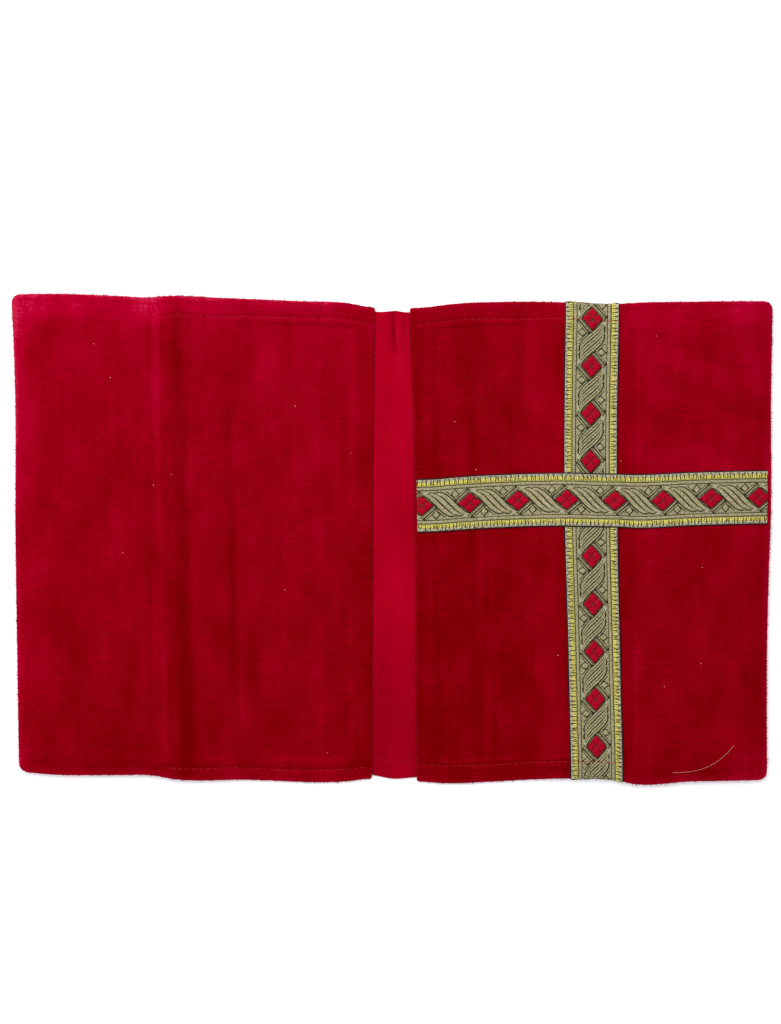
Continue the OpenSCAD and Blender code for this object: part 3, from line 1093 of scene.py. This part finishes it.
@dataclass
class VelvetHalf:
    """One half of the cover: the outer panel, the pocket sewn into it, and their sewing."""

    side: Side
    lie: Lie
    finishes: Finishes
    tape_lift: float = 0.55
    made: list[bpy.types.Object] = field(default_factory=list)

    def keep(self, piece: bpy.types.Object, slot: Slot, *nodes: str) -> bpy.types.Object:
        """Puts a finished piece on this half's body.

        Args:
            piece: The piece.
            slot: The record's slot for its finish; not used.
            *nodes: The CAD nodes that it stands for.

        Returns:
            The piece.
        """
        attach(piece, f"{self.side.word}_cover")
        if nodes:
            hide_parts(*nodes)
        self.made.append(piece)
        return piece

    def build(self) -> list[bpy.types.Object]:
        """Makes every piece of the half."""
        self.panel()
        self.pocket()
        self.hem_stitches()
        self.pocket_stitches()
        self.lint()
        if self.side is Side.FRONT:
            self.loose_threads()
        return self.made

    def panel(self) -> None:
        """Makes the outer velvet and the pile along its edges."""
        s, word = self.lie.sizes, self.side.word
        sheet = FoldedSheet(self.lie, self.side, s.seam + 0.1, s.hem - 1, s.allowance)
        self.keep(sheet.make(f"{word}_velvet_panel", self.finishes), Slot.VELVET, f"{word}_panel")
        fringe = PileFringe(sheet, seed=11 + self.side.value)
        self.keep(fringe.make(f"{word}_panel_pile", self.finishes), Slot.VELVET)

    def pocket(self) -> None:
        """Makes the flap inside the fore edge, with its mouth hemmed."""
        s, word = self.lie.sizes, self.side.word
        sheet = FoldedSheet(self.lie, self.side, s.mouth, s.hem, s.allowance, room=Room.UP, base=0.12)
        self.keep(sheet.make(f"{word}_pocket_flap", self.finishes), Slot.VELVET, f"{word}_pocket")
        fringe = PileFringe(sheet, per_mm=2.2, length=(0.25, 0.8), seed=31 + self.side.value)
        self.keep(fringe.make(f"{word}_pocket_pile", self.finishes), Slot.VELVET)

    def on_band(self, a: np.ndarray | float) -> bool:
        """Says whether a place across the half is on the upright band."""
        s = self.lie.sizes
        return self.side is Side.FRONT and s.upright_in - 1 < a < s.upright_out - 0.5

    def lint(self) -> None:
        """Scatters a few specks of lint on the pile."""
        rng = random.Random(40 + self.side.value)
        places = []
        for _ in range(9):
            a, y = rng.uniform(20, 168), rng.uniform(-100, 100)
            if self.on_band(a):
                continue
            at, turn = self.lie.place(a * self.side.value, y, 0.12), rng.uniform(0, math.pi)
            size = (rng.uniform(0.2, 0.42), 0.12, 0.1)
            places.append(facing(at, (math.cos(turn), math.sin(turn), 0), (0, 0, 1), size))
        piece = many(f"{self.side.word}_lint", stitch_shape(), places)
        finish_mesh(piece, self.finishes.lint)
        self.keep(piece, Slot.VELVET)

    def loose_threads(self) -> None:
        """Lays the loose end of the hem's thread beside the upright band, and a stray fibre near the corner."""
        hem_end = [(104.8, 104.2), (106.3, 103.4), (107.6, 102.0), (108.4, 100.3), (109.6, 98.8), (111.0, 97.9)]
        self.trail("front_hem_thread_end", hem_end, 0.15, self.finishes.red_thread, Slot.THREAD)
        fibre = [(131, -107.0), (138, -107.3), (145, -106.0), (151, -103.4), (156, -99.6), (160, -95.4)]
        self.trail("front_stray_fibre", fibre, 0.06, self.finishes.lint, Slot.VELVET)

    def trail(self, name: str, path: list[tuple[float, float]], radius: float, finish: bpy.types.Material,
              slot: Slot) -> None:
        """Lays one thin thread on the pile.

        Args:
            name: Name of the piece.
            path: Places on the flat cover that it passes, in order of X.
            radius: Half its thickness.
            finish: Its finish.
            slot: The record's slot for it.
        """
        x = np.linspace(path[0][0], path[-1][0], 3 * len(path))
        at = self.lie.place(x, Line(path)(x), 0.15 + radius)
        places = []
        for a, b in zip(at[:-1], at[1:]):
            size = (np.linalg.norm(b - a) * 0.62, radius, radius)
            places.append(facing((a + b) / 2, b - a, (0, 0, 1), size))
        piece = many(name, stitch_shape(), places)
        finish_mesh(piece, finish)
        self.keep(piece, slot)

    def hem_stitches(self) -> None:
        """Sews the hems at head and tail, from the spine to the pocket's mouth."""
        s, sign = self.lie.sizes, self.side.value
        row = StitchRow(self.lie)
        places = []
        for end in (-1, 1):

            def line(a: float) -> np.ndarray:
                """A point of the row on the outside."""
                lift = self.tape_lift + 0.12 if self.on_band(a) else 0.1
                inset = float(self.lie.hem_inset(a * sign, end)) + 0.25 * math.sin(a / 9 + end)
                return self.lie.place(a * sign, end * (s.head - inset), lift)

            places += row.places(line, s.turn + 1, s.mouth - 1)
        thread = self.finishes.red_thread
        piece = row.make(f"{self.side.word}_hem_stitches", places, thread)
        self.keep(piece, Slot.THREAD, f"{self.side.word}_hem_stitching")

    def pocket_stitches(self) -> None:
        """Sews the pocket: the seam in its three edges and the hem at its mouth."""
        s, sign, word = self.lie.sizes, self.side.value, self.side.word
        row = StitchRow(self.lie, radius=0.16)
        seam_z, inset = 2 * s.fold, 0.75

        def at(x: float, y: float, z: float) -> np.ndarray:
            """A point at its own height."""
            px, py = self.lie.plan(x * sign, y)
            return np.array([float(px), float(py), z])

        places = row.places(lambda y: at(s.fore - inset, y, seam_z), 5 - s.head, s.head - 5)
        for end in (-1, 1):
            places += row.places(lambda a: at(a, end * (s.head - inset), seam_z), s.mouth + 3, s.fore - 5)
        piece = row.make(f"{word}_pocket_seam_stitches", places, self.finishes.red_thread)
        self.keep(piece, Slot.THREAD, f"{word}_pocket_seam_stitching")
        x, inner = s.mouth + s.hem_row, s.head - 6
        places = row.places(lambda y: at(x, y, seam_z + 0.1), -inner, inner)
        places += row.places(lambda y: at(x, y, 0.17), -inner, inner, up=-1.0)
        piece = row.make(f"{word}_pocket_hem_stitches", places, self.finishes.red_thread)
        self.keep(piece, Slot.THREAD, f"{word}_pocket_hem_stitching")


# ----------------------------------------------------------------------------------------------------- the spine


@dataclass
class SatinSpine:
    """The satin strip between the halves, tucked at the head, with its seams and seam allowances."""

    lie: Lie
    finishes: Finishes
    radius: float = 0.42
    cloth: float = 0.3
    turned: float = 4.0
    gap: float = 0.15
    made: list[bpy.types.Object] = field(default_factory=list)

    def keep(self, piece: bpy.types.Object, slot: Slot, *nodes: str) -> None:
        """Puts a finished piece on the spine's body, for the CAD nodes that it stands for."""
        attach(piece, "spine")
        if nodes:
            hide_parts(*nodes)
        self.made.append(piece)

    def height(self, x: np.ndarray, y: np.ndarray) -> np.ndarray:
        """Height of the satin's face above the table."""
        s = self.lie.sizes
        near_head = smooth(84, 101, y)
        step = smooth(1.1, 2.0, x) * (1 - 0.8 * smooth(3.0, 9.0, x))
        h = 1.3 + 0.35 * np.cos(np.clip(x / s.seam, -1, 1) * math.pi / 2)
        h = h + near_head * (1.35 * step - 0.5 * bump(0.3, 1.4, x))
        h = h - 0.14 * bump(s.hem_row, 0.7, s.satin_head - np.abs(y))
        for px, py in ((-4.7, -102.5), (2.6, -103.5), (6.2, -101.8)):
            h = h - 0.35 * bump(px, 1.3, x) * bump(py, 2.0, y)
        return h + 0.08 * np.sin(y / 13 + x / 4) * bump(0, 8, x)

    def tucked(self, x: np.ndarray, y: np.ndarray) -> np.ndarray:
        """Draws the fold of the tuck over the satin beside it."""
        return x - 1.5 * bump(2.1, 0.9, x) * smooth(88, 103, y)

    def shape(self, u: np.ndarray, v: np.ndarray, lift: float = 0.0) -> np.ndarray:
        """Folds the strip's edges under.

        Args:
            u: Places across the cut.
            v: Places along the cut.
            lift: Height above the satin's face.

        Returns:
            The points in millimetres.
        """
        s, r = self.lie.sizes, self.radius
        u, v = np.broadcast_arrays(np.asarray(u, float), np.asarray(v, float))
        flat, reach, drop = [], [], 0.0
        for value, edge in ((u, s.seam - self.gap - r), (v, s.satin_head - r)):
            past = np.maximum(np.abs(value) - edge, 0)
            turn = np.clip(past / r, 0, math.pi)
            flat.append(np.sign(value) * (np.minimum(np.abs(value), edge) - np.maximum(past - math.pi * r, 0)))
            reach.append(np.sign(value) * r * np.sin(turn))
            drop = np.maximum(drop, r * (1 - np.cos(turn)))
        px, py = self.lie.plan(self.tucked(flat[0], flat[1]), flat[1])
        return np.stack([px + reach[0], py + reach[1], self.height(*flat) - drop + lift], axis=-1)

    def build(self) -> list[bpy.types.Object]:
        """Makes every piece of the spine."""
        self.strip()
        self.stitches()
        for side in Side:
            self.allowance(side)
        return self.made

    def strip(self) -> None:
        """Makes the satin strip."""
        s, arc = self.lie.sizes, math.pi * self.radius
        across, along = s.seam - self.gap - self.radius, s.satin_head - self.radius
        half_u = stations((0, 3, 0.3), (3, across - 0.5, 0.8), (across - 0.5, across + arc, 0.25),
                          (across + arc, across + arc + self.turned, 1.0))
        half_v = stations((0, 80, 1.6), (80, along - 0.5, 0.7), (along - 0.5, along + arc, 0.25),
                          (along + arc, along + arc + s.hem_row, 1.0))
        u, v = np.r_[-half_u[:0:-1], half_u], np.r_[-half_v[:0:-1], half_v]
        piece, pu, pv = cloth_grid("satin_spine_strip", u, v)
        write_points(piece, self.shape(pu, pv) * MM)
        spare = (np.abs(pu) > across + arc) & (np.abs(pv) > along + arc)
        # Painted shadow in the tuck's fold and painted light that rises towards the head, kept as a point attribute
        # for the satin's colour.
        fold = 0.75 * bump(0.6, 1.2, pu) * smooth(86, 99, pv) + 0.2 * bump(-1.6, 2.2, pu) * smooth(76, 100, pv)
        lit = 0.3 * smooth(-130, 60, pv) - 0.22 - fold
        delete_points(piece, spare)
        store(piece, "tone_and_painted_light", lit[~spare])
        apply_modifier(piece, "SOLIDIFY", thickness=self.cloth * MM, offset=-1)
        finish_mesh(piece, self.finishes.satin)
        self.keep(piece, Slot.SATIN, "spine_strip")

    def stitches(self) -> None:
        """Sews the satin's hems and the two seams that hold it to the velvet."""
        s = self.lie.sizes
        row = StitchRow(self.lie, radius=0.16)
        places = []
        for end in (-1, 1):
            y = end * (s.satin_head - s.hem_row)
            places += row.places(lambda x: self.shape(x, y, 0.08), -s.seam + 1.2, s.seam - 1.2)
        self.keep(row.make("spine_hem_stitches", places, self.finishes.red_thread), Slot.THREAD,
                  "spine_hem_stitching")
        for side in Side:

            def line(y: float) -> np.ndarray:
                """A point in the groove of the seam."""
                px, py = self.lie.plan(side.value * (s.seam + 0.02), y)
                return np.array([float(px), float(py), 1.1])

            places = row.places(line, 1 - s.satin_head, s.satin_head - 1)
            piece = row.make(f"{side.word}_seam_stitches", places, self.finishes.red_thread)
            self.keep(piece, Slot.THREAD, f"{side.word}_seam_stitching")

    def allowance(self, side: Side) -> None:
        """Makes the satin's seam allowance, which lies under a velvet edge.

        Args:
            side: The half that it is sewn to.
        """
        s = self.lie.sizes
        a = stations((s.seam - 5.0, s.seam - 0.8, 0.7), (s.seam - 0.8, s.seam + 1.6, 0.3),
                     (s.seam + 1.6, s.seam + 5.6, 0.8))
        u = a if side is Side.FRONT else -a[::-1]
        v = stations((0.4 - s.satin_head, s.satin_head - 0.4, 2.0))
        piece, pu, pv = cloth_grid(f"{side.word}_seam_allowance", u, v)
        px, py = self.lie.plan(pu, pv)
        write_points(piece, np.stack([px, py, 0.26 + 0.55 * bump(s.seam, 0.9, np.abs(pu))], axis=-1) * MM)
        store(piece, "tone_and_painted_light", 0 * pu - 0.1)
        apply_modifier(piece, "SOLIDIFY", thickness=0.2 * MM, offset=-1)
        finish_mesh(piece, self.finishes.satin)
        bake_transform(piece)
        self.made.append(piece)


# ------------------------------------------------------------------------------------------------ woven bands


def joined(name: str, parts: list[bpy.types.Object]) -> bpy.types.Object:
    """Joins several meshes into the first of them."""
    select_only(parts[0])
    for part in parts[1:]:
        part.select_set(True)
    if len(parts) > 1:
        bpy.ops.object.join()
    parts[0].name = name
    return parts[0]


def ribbon(path: list[tuple[float, float]], width: tuple[float, float], base: float, crown: float,
           steps: int = 12) -> bpy.types.Object:
    """Models one float of yarn on the flat band: a crowned strip along a smooth path, in millimetres.

    Args:
        path: Places along and across the band that the strip passes, in order of the first number.
        width: Its width at the middle and at the ends.
        base: Height of its edges above the tape.
        crown: Height of its middle above its edges.
        steps: How many lengths it is made of.

    Returns:
        The strip as a closed mesh.
    """
    piece, t, v = cloth_grid("float", np.linspace(0, 1, steps + 1), np.linspace(-1, 1, 5))
    if len(path) == 2:
        (s0, w0), (s1, w1) = path
        s, w = s0 + (s1 - s0) * t, w0 + (w1 - w0) * t
        ds, dw = np.full_like(t, s1 - s0), np.full_like(t, w1 - w0)
    else:
        line = Line(path)
        s = path[0][0] + (path[-1][0] - path[0][0]) * t
        w, ds = line(s), np.ones_like(t)
        dw = (line(s + 0.1) - line(s - 0.1)) / 0.2
    away = np.hypot(ds, dw)
    middle, end = width
    half = (end + (middle - end) * np.sin(math.pi * t) ** 0.6) / 2
    write_points(piece, np.stack([s - dw / away * half * v, w + ds / away * half * v,
                                  base + crown * (1 - v * v)], axis=-1))
    apply_modifier(piece, "SOLIDIFY", thickness=0.12, offset=-1)
    return piece


def lozenge(s: float, w: float, half_s: float, half_w: float, base: float, crown: float) -> bpy.types.Object:
    """Models one cushioned lozenge of floats on the flat band, in millimetres.

    Args:
        s: Its middle along the band.
        w: Its middle across the band.
        half_s: Half its size along the band.
        half_w: Half its size across the band.
        base: Height of its edges above the tape.
        crown: Height of its middle above its edges.

    Returns:
        The lozenge as a closed mesh.
    """
    piece, p, q = cloth_grid("lozenge", np.linspace(-1, 1, 7), np.linspace(-1, 1, 7))
    puff = (1 - p**4) * (1 - q**4)
    write_points(piece, np.stack([s + (p + q) / 2 * half_s, w + (p - q) / 2 * half_w, base + crown * puff], axis=-1))
    in_edit_mode(piece, bpy.ops.mesh.flip_normals)
    apply_modifier(piece, "SOLIDIFY", thickness=0.12, offset=-1)
    return piece


@dataclass(frozen=True)
class Figure:
    """The galloon's woven figure in millimetres: red lozenges with three crowned strands between each two."""

    period: float = 22.4
    half_s: float = 5.5
    half_w: float = 4.65
    swing: float = 5.3
    reach: float = 7.6
    spacing: float = 3.4
    strand: float = 1.95
    gap: float = 0.52
    split: bool = False

    def both(self, make) -> list[bpy.types.Object]:
        """Makes a shape and its twin, turned half round the lozenge's middle."""
        return [make(1), make(-1)]

    def strand_path(self, offset: float) -> list[tuple[float, float]]:
        """The S-shaped path of a strand, from above one lozenge to below the next."""
        marks = np.linspace(-1, 1, 11)
        middle = self.period / 2 + offset
        return [(middle + self.reach * m, -self.swing * math.sin(math.pi / 2 * m)) for m in marks]

    def dark(self) -> list[bpy.types.Object]:
        """The dark ground that shows as lines round the strands, lozenges and bars."""
        parts = []
        for offset in (-self.spacing, 0, self.spacing):
            wide = self.strand + 2 * self.gap
            parts.append(ribbon(self.strand_path(offset), (wide, 1.5), 0.03, 0.03))
        parts.append(lozenge(0, 0, self.half_s + 0.5, self.half_w + 0.4, 0.22, 0.03))
        parts += self.both(lambda k: lozenge(-6.75 * k, 4.45 * k, 2.1, 2.45, 0.04, 0.03))
        parts += self.both(lambda k: ribbon([(-6.8 * k, 1.2 * k), (-0.5 * k, 6.5 * k)], (2.5, 1.9), 0.05, 0.02, 6))
        parts += self.both(lambda k: ribbon([(-11.0 * k, 6.0 * k), (-7.6 * k, 3.0 * k)], (0.4, 0.3), 0.05, 0.02, 4))
        return parts

    def strands(self) -> list[bpy.types.Object]:
        """The crowned strands, and the small lozenges and thin bars in the same yarn."""
        parts = []
        for offset in (-self.spacing, 0, self.spacing):
            path = self.strand_path(offset)
            if self.split:
                half = self.strand / 2 - 0.12
                for side in (-1, 1):
                    shifted = [(s + side * 0.78, w) for s, w in path]
                    parts.append(ribbon(shifted, (half, 0.35), 0.07, 0.16))
            else:
                parts.append(ribbon(path, (self.strand, 0.7), 0.07, 0.22))
        parts += self.both(lambda k: ribbon([(-6.9 * k, 1.95 * k), (-1.5 * k, 6.5 * k)], (0.6, 0.4), 0.08, 0.12, 6))
        return parts + self.both(lambda k: lozenge(-6.75 * k, 4.45 * k, 1.5, 1.8, 0.08, 0.12))

    def bars(self) -> list[bpy.types.Object]:
        """The bars beside each lozenge."""
        return self.both(lambda k: ribbon([(-6.1 * k, 1.0 * k), (-0.3 * k, 6.0 * k)], (0.8, 0.5), 0.1, 0.16, 6))

    def tips(self) -> list[bpy.types.Object]:
        """The small grey-green floats above and below each lozenge."""
        return self.both(lambda k: ribbon([(0.7 * k, 5.75 * k), (3.2 * k, 5.9 * k)], (1.1, 0.6), 0.08, 0.12, 5))

    def lozenges(self) -> list[bpy.types.Object]:
        """The four red quarters of each lozenge."""
        step_s, step_w = self.half_s / 2, self.half_w / 2
        quarters = ((0, step_w), (0, -step_w), (step_s, 0), (-step_s, 0))
        return [lozenge(s, w, step_s - 0.13, step_w - 0.11, 0.24, 0.24) for s, w in quarters]


@dataclass
class Galloon:
    """A woven band sewn to the front panel: its tape, its raised figure, its edge rows and its stitches."""

    word: str
    lie: Lie
    finishes: Finishes
    start: float
    end: float
    first: float
    figure: Figure
    half: float = 12.7
    lift: float = 0.55
    yarn: float = 0.5
    seed: int = 5
    made: list[bpy.types.Object] = field(default_factory=list)

    def where(self, s: np.ndarray, w: np.ndarray) -> tuple[np.ndarray, np.ndarray, np.ndarray]:
        """Where a place of the band is on the flat cover, and how much higher than on bare velvet."""
        raise NotImplementedError

    def onto_cover(self, flat: np.ndarray) -> np.ndarray:
        """Lays points of the flat band onto the cover.

        Args:
            flat: Place along the band, across it and height above the tape, in millimetres, one row each.

        Returns:
            The points in millimetres.
        """
        s, w, h = flat.T
        x, y, raised = self.where(s, w)
        return self.lie.place(x, y, self.lift + raised + h)

    def keep(self, piece: bpy.types.Object, slot: Slot, *nodes: str) -> None:
        """Puts a finished piece on the front cover, for the CAD nodes that it stands for."""
        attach(piece, "front_cover")
        if nodes:
            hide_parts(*nodes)
        self.made.append(piece)

    def build(self) -> list[bpy.types.Object]:
        """Makes every piece of the band."""
        f, word = self.finishes, self.word
        self.tape()
        self.repeat(f"{word}_dark_ground", self.figure.dark(), f.olive)
        self.repeat(f"{word}_gold_strands", self.figure.strands(), f.gold)
        self.repeat(f"{word}_gold_bars", self.figure.bars(), f.field)
        self.repeat(f"{word}_green_tips", self.figure.tips(), f.grey_green)
        self.repeat(f"{word}_red_lozenges", self.figure.lozenges(), f.red)
        self.edge_rows()
        self.stitches()
        return self.made

    def regions(self) -> list[tuple[float, float, float, bpy.types.Material]]:
        """The tape's stripes on one side of its middle.

        Returns:
            For each stripe its outer edge, its crown, how deep its edges lie and its yarn.
        """
        f = self.finishes
        return [(6.85, 0.0, 0.0, f.field), (7.25, 0.0, 0.08, f.olive), (8.45, 0.24, 0.02, f.gold),
                (8.85, 0.0, 0.08, f.olive), (10.9, 0.06, 0.0, f.straw), (12.1, 0.08, 0.02, f.grey_green),
                (self.half, 0.0, 0.1, f.navy)]

    def tape(self) -> None:
        """Makes the tape, with its stripes as materials and their crowns as relief."""
        regions = self.regions()
        across, crowns, low = [], [], 0.0
        for edge, crown, deep, _ in regions:
            count = 9 if low == 0 else 4 if crown else 1
            for i in range(count):
                t = i / count
                across.append(low + (edge - low) * t)
                crowns.append(crown * 4 * t * (1 - t) - deep)
            low = edge
        across.append(self.half)
        crowns.append(-0.2)
        w = np.r_[-np.array(across[:0:-1]), across]
        relief = np.r_[crowns[:0:-1], crowns]
        s = stations((self.start, self.start + 8, 0.7), (self.start + 8, self.end - 8, 1.1),
                     (self.end - 8, self.end, 0.7))
        piece, ps, pw = cloth_grid(f"{self.word}_tape", s, w)
        height = np.interp(pw, w, relief)
        write_points(piece, self.onto_cover(np.stack([ps, pw, height], axis=-1)) * MM)
        dress(piece, *[stripe[3] for stripe in regions])
        edges = np.array([edge for edge, *_ in regions])
        for polygon in piece.data.polygons:
            middle = np.mean([abs(pw[i]) for i in polygon.vertices])
            polygon.material_index = int(np.searchsorted(edges, middle))
        store(piece, "along", ps)
        apply_modifier(piece, "SOLIDIFY", thickness=self.yarn * MM, offset=-1)
        finish_mesh(piece)
        self.keep(piece, Slot.GALLOON, f"{self.word}")

    def settle(self, piece: bpy.types.Object, material: bpy.types.Material) -> None:
        """Trims flat work to the band's length and lays it onto the cover.

        Args:
            piece: The work, flat, in metres.
            material: Its finish.
        """
        start, end = self.start * MM, self.end * MM
        in_edit_mode(piece, lambda: bpy.ops.mesh.bisect(plane_co=(start, 0, 0), plane_no=(1, 0, 0),
                                                        use_fill=True, clear_inner=True))
        in_edit_mode(piece, lambda: bpy.ops.mesh.bisect(plane_co=(end, 0, 0), plane_no=(1, 0, 0),
                                                        use_fill=True, clear_outer=True))
        in_edit_mode(piece, lambda: bpy.ops.mesh.fill_holes(sides=0))
        flat = read_points(piece) / MM
        store(piece, "along", flat[:, 0])
        write_points(piece, self.onto_cover(flat) * MM)
        finish_mesh(piece, material)
        self.keep(piece, Slot.GALLOON)

    def repeat(self, name: str, parts: list[bpy.types.Object], material: bpy.types.Material) -> None:
        """Repeats one period's shapes along the band.

        Args:
            name: Name of the piece.
            parts: The shapes round the first lozenge, flat, in millimetres.
            material: Their finish.
        """
        period = self.figure.period
        first = math.ceil((self.start - self.first) / period) - 1
        last = math.floor((self.end - self.first) / period) + 1
        places = [Matrix.Translation((self.first + k * period, 0, 0)) for k in range(first, last + 1)]
        self.settle(many(name, joined("figure", parts), places), material)

    def edge_rows(self) -> None:
        """Makes the uneven strokes of the edge rows: dark ones between bright and pale ones."""
        rng = random.Random(self.seed)
        dark, bright, pale = [], [], []
        for side in (-1, 1):
            s = self.start + rng.uniform(0.2, 1.0)
            while s < self.end - 0.5:
                lean = rng.uniform(-0.6, 0.6)
                inner, outer = side * 8.95, side * rng.uniform(11.4, 12.1)
                dark.append(self.stroke((s, inner), (s + lean, outer), rng.uniform(0.2, 0.27), 0.26))
                step = rng.choice((1.5, 1.75, 2.0, 2.4))
                mid = s + step / 2
                across = rng.uniform(-0.25, 0.25)
                for part in (-0.24, 0.24):
                    middle = mid + part * step
                    bright.append(self.stroke((middle - across, side * 9.0), (middle + across, side * 10.95),
                                              0.24 * step, 0.2))
                pale.append(self.stroke((mid - 0.1, side * 10.7), (mid + rng.uniform(-0.4, 0.4), side * 12.1),
                                        rng.uniform(0.3, 0.5), 0.18))
                if rng.random() < 0.35:
                    dark.append(self.stroke((mid + 0.3, side * 9.2), (mid - 0.3, side * 10.7), 0.17, 0.28))
                s += step
        for name, places, yarn in (("dark_strokes", dark, self.finishes.olive),
                                   ("yellow_strokes", bright, self.finishes.yellow),
                                   ("pale_strokes", pale, self.finishes.pale)):
            self.settle(many(f"{self.word}_{name}", stitch_shape(), places), yarn)

    def stroke(self, a: tuple[float, float], b: tuple[float, float], half: float, height: float) -> Matrix:
        """A placement of one short float of yarn between two places of the flat band."""
        middle = ((a[0] + b[0]) / 2, (a[1] + b[1]) / 2, height / 2)
        along = (b[0] - a[0], b[1] - a[1], 0)
        return facing(middle, along, (0, 0, 1), (math.hypot(*along[:2]) / 2, half, height))

    def sewn(self, s: float) -> bool:
        """Says whether stitches show at a place along the band."""
        return True

    def stitches(self) -> None:
        """Sews the band down along both edges."""
        row = StitchRow(self.lie, radius=0.13)
        inside = self.half - 1
        places = []
        for side in (-1, 1):
            line = lambda s: self.onto_cover(np.array([[s, side * inside, 0.12]]))[0]
            places += row.places(line, self.start + 1.5, self.end - 1.5, lambda s: not self.sewn(s))
        piece = row.make(f"{self.word}_stitches", places, self.finishes.dark_thread)
        self.keep(piece, Slot.THREAD, f"{self.word}_stitching")


@dataclass
class CrossBand(Galloon):
    """The band from the spine to the fore edge, over the upright one."""

    def where(self, s: np.ndarray, w: np.ndarray) -> tuple[np.ndarray, np.ndarray, np.ndarray]:
        """Where a place of the band is on the flat cover, and how much higher than on bare velvet."""
        z = self.lie.sizes
        climb = 3.0
        middle = (z.cross_low + z.cross_high) / 2
        drift = 0.4 + 1.9 * (np.asarray(s) - 12) / (z.cross_out - 12)
        over = smooth(z.upright_in - climb, z.upright_in, s) * (1 - smooth(z.upright_out, z.upright_out + climb, s))
        return s, middle + drift + w, 0.72 * over


@dataclass
class UprightBand(Galloon):
    """The band from tail to head, carried round both folded edges."""

    def where(self, s: np.ndarray, w: np.ndarray) -> tuple[np.ndarray, np.ndarray, np.ndarray]:
        """Where a place of the band is on the flat cover, and how much higher than on bare velvet."""
        z = self.lie.sizes
        t = np.clip((np.asarray(s) + z.head) / (2 * z.head), 0, 1)
        lean = Line([(0, 2.3), (0.29, 0.7), (0.6, -1.2), (0.85, -0.9), (1, -0.3)])
        return (z.upright_in + z.upright_out) / 2 + lean(t) - w, s, 0.0 * t

    def sewn(self, s: float) -> bool:
        """Says whether stitches show at a place along the band: not round the edges or under the other band."""
        z = self.lie.sizes
        return abs(s) < z.head - 2 and not z.cross_low - 1 < s < z.cross_high + 4


# ----------------------------------------------------------------------------------------------------- studio


@dataclass
class Studio:
    """A pale floor, soft light from the head end and a camera straight above."""

    lie: Lie
    finishes: Finishes
    look_at: tuple[float, float] = (-1.64, 13.4)
    seen: float = 479.2
    lens: float = 85.0
    film: float = 36.0

    def build(self) -> list[bpy.types.Object]:
        """Makes the studio."""
        self.camera()
        self.light("softbox_head", (-250, 700, 900), 1.1, 11.0)
        self.light("softbox_left", (-900, 120, 700), 0.9, 3.0)
        self.world()
        return [self.floor()]

    def camera(self) -> None:
        """Puts the camera straight above, so that its long side sees the wanted length."""
        distance = self.seen * self.lens / self.film
        x, y = self.look_at
        bpy.ops.object.camera_add(location=(x * MM, y * MM, distance * MM), rotation=(0, 0, 0))
        camera = bpy.context.active_object
        camera.name = "camera_above"
        camera.data.lens = self.lens
        camera.data.sensor_width = self.film
        camera.data.clip_start, camera.data.clip_end = 0.01, 20.0
        bpy.context.scene.camera = camera

    def light(self, name: str, place: tuple[float, float, float], size: float, power: float) -> None:
        """Adds a soft light that faces the cover.

        Args:
            name: Its name.
            place: Where it stands, in millimetres.
            size: Its width in metres.
            power: Its power in watts.
        """
        bpy.ops.object.light_add(type="AREA", location=[v * MM for v in place])
        lamp = bpy.context.active_object
        lamp.name = name
        lamp.data.shape = "SQUARE"
        lamp.data.size = size
        lamp.data.energy = power
        lamp.rotation_euler = (-lamp.location).to_track_quat("-Z", "Y").to_euler()

    def world(self) -> None:
        """Lights everything evenly, as a white studio does."""
        scene = bpy.context.scene
        scene.world = bpy.data.worlds.new("white_studio")
        scene.world.use_nodes = True
        background = scene.world.node_tree.nodes["Background"]
        background.inputs["Color"].default_value = srgb("f6f8ff")
        background.inputs["Strength"].default_value = 0.72
        scene.view_settings.view_transform = "Standard"
        scene.view_settings.look = "None"

    def floor(self) -> bpy.types.Object:
        """Lays the floor."""
        deselect()
        bpy.ops.mesh.primitive_plane_add(size=30.0, location=(0, 0, 0))
        piece = bpy.context.active_object
        piece.name = "studio_floor"
        finish_mesh(piece, StudioPaper().make())
        return piece


def main() -> None:
    """Builds the cover and its studio, and reports each piece."""
    logging.basicConfig(level=logging.INFO, format="%(message)s")
    finishes, sizes = Finishes(), Measures()
    lie = Lie(sizes)
    wrap = sizes.head - sizes.fold + math.pi * sizes.fold + sizes.hem
    parts = [
        Studio(lie, finishes),
        SatinSpine(lie, finishes),
        VelvetHalf(Side.BACK, lie, finishes),
        VelvetHalf(Side.FRONT, lie, finishes),
        UprightBand("upright_band", lie, finishes, start=-wrap, end=wrap, first=104.8, figure=Figure(split=True)),
        CrossBand("cross_band", lie, finishes, start=sizes.turn + 0.5, end=sizes.cross_out, first=13.1,
                  figure=Figure(), seed=8),
    ]
    for part in parts:
        for piece in part.build():
            log.info("%s: %s with %d faces", type(part).__name__, piece.name, len(piece.data.polygons))


if __name__ == "__main__":
    main()
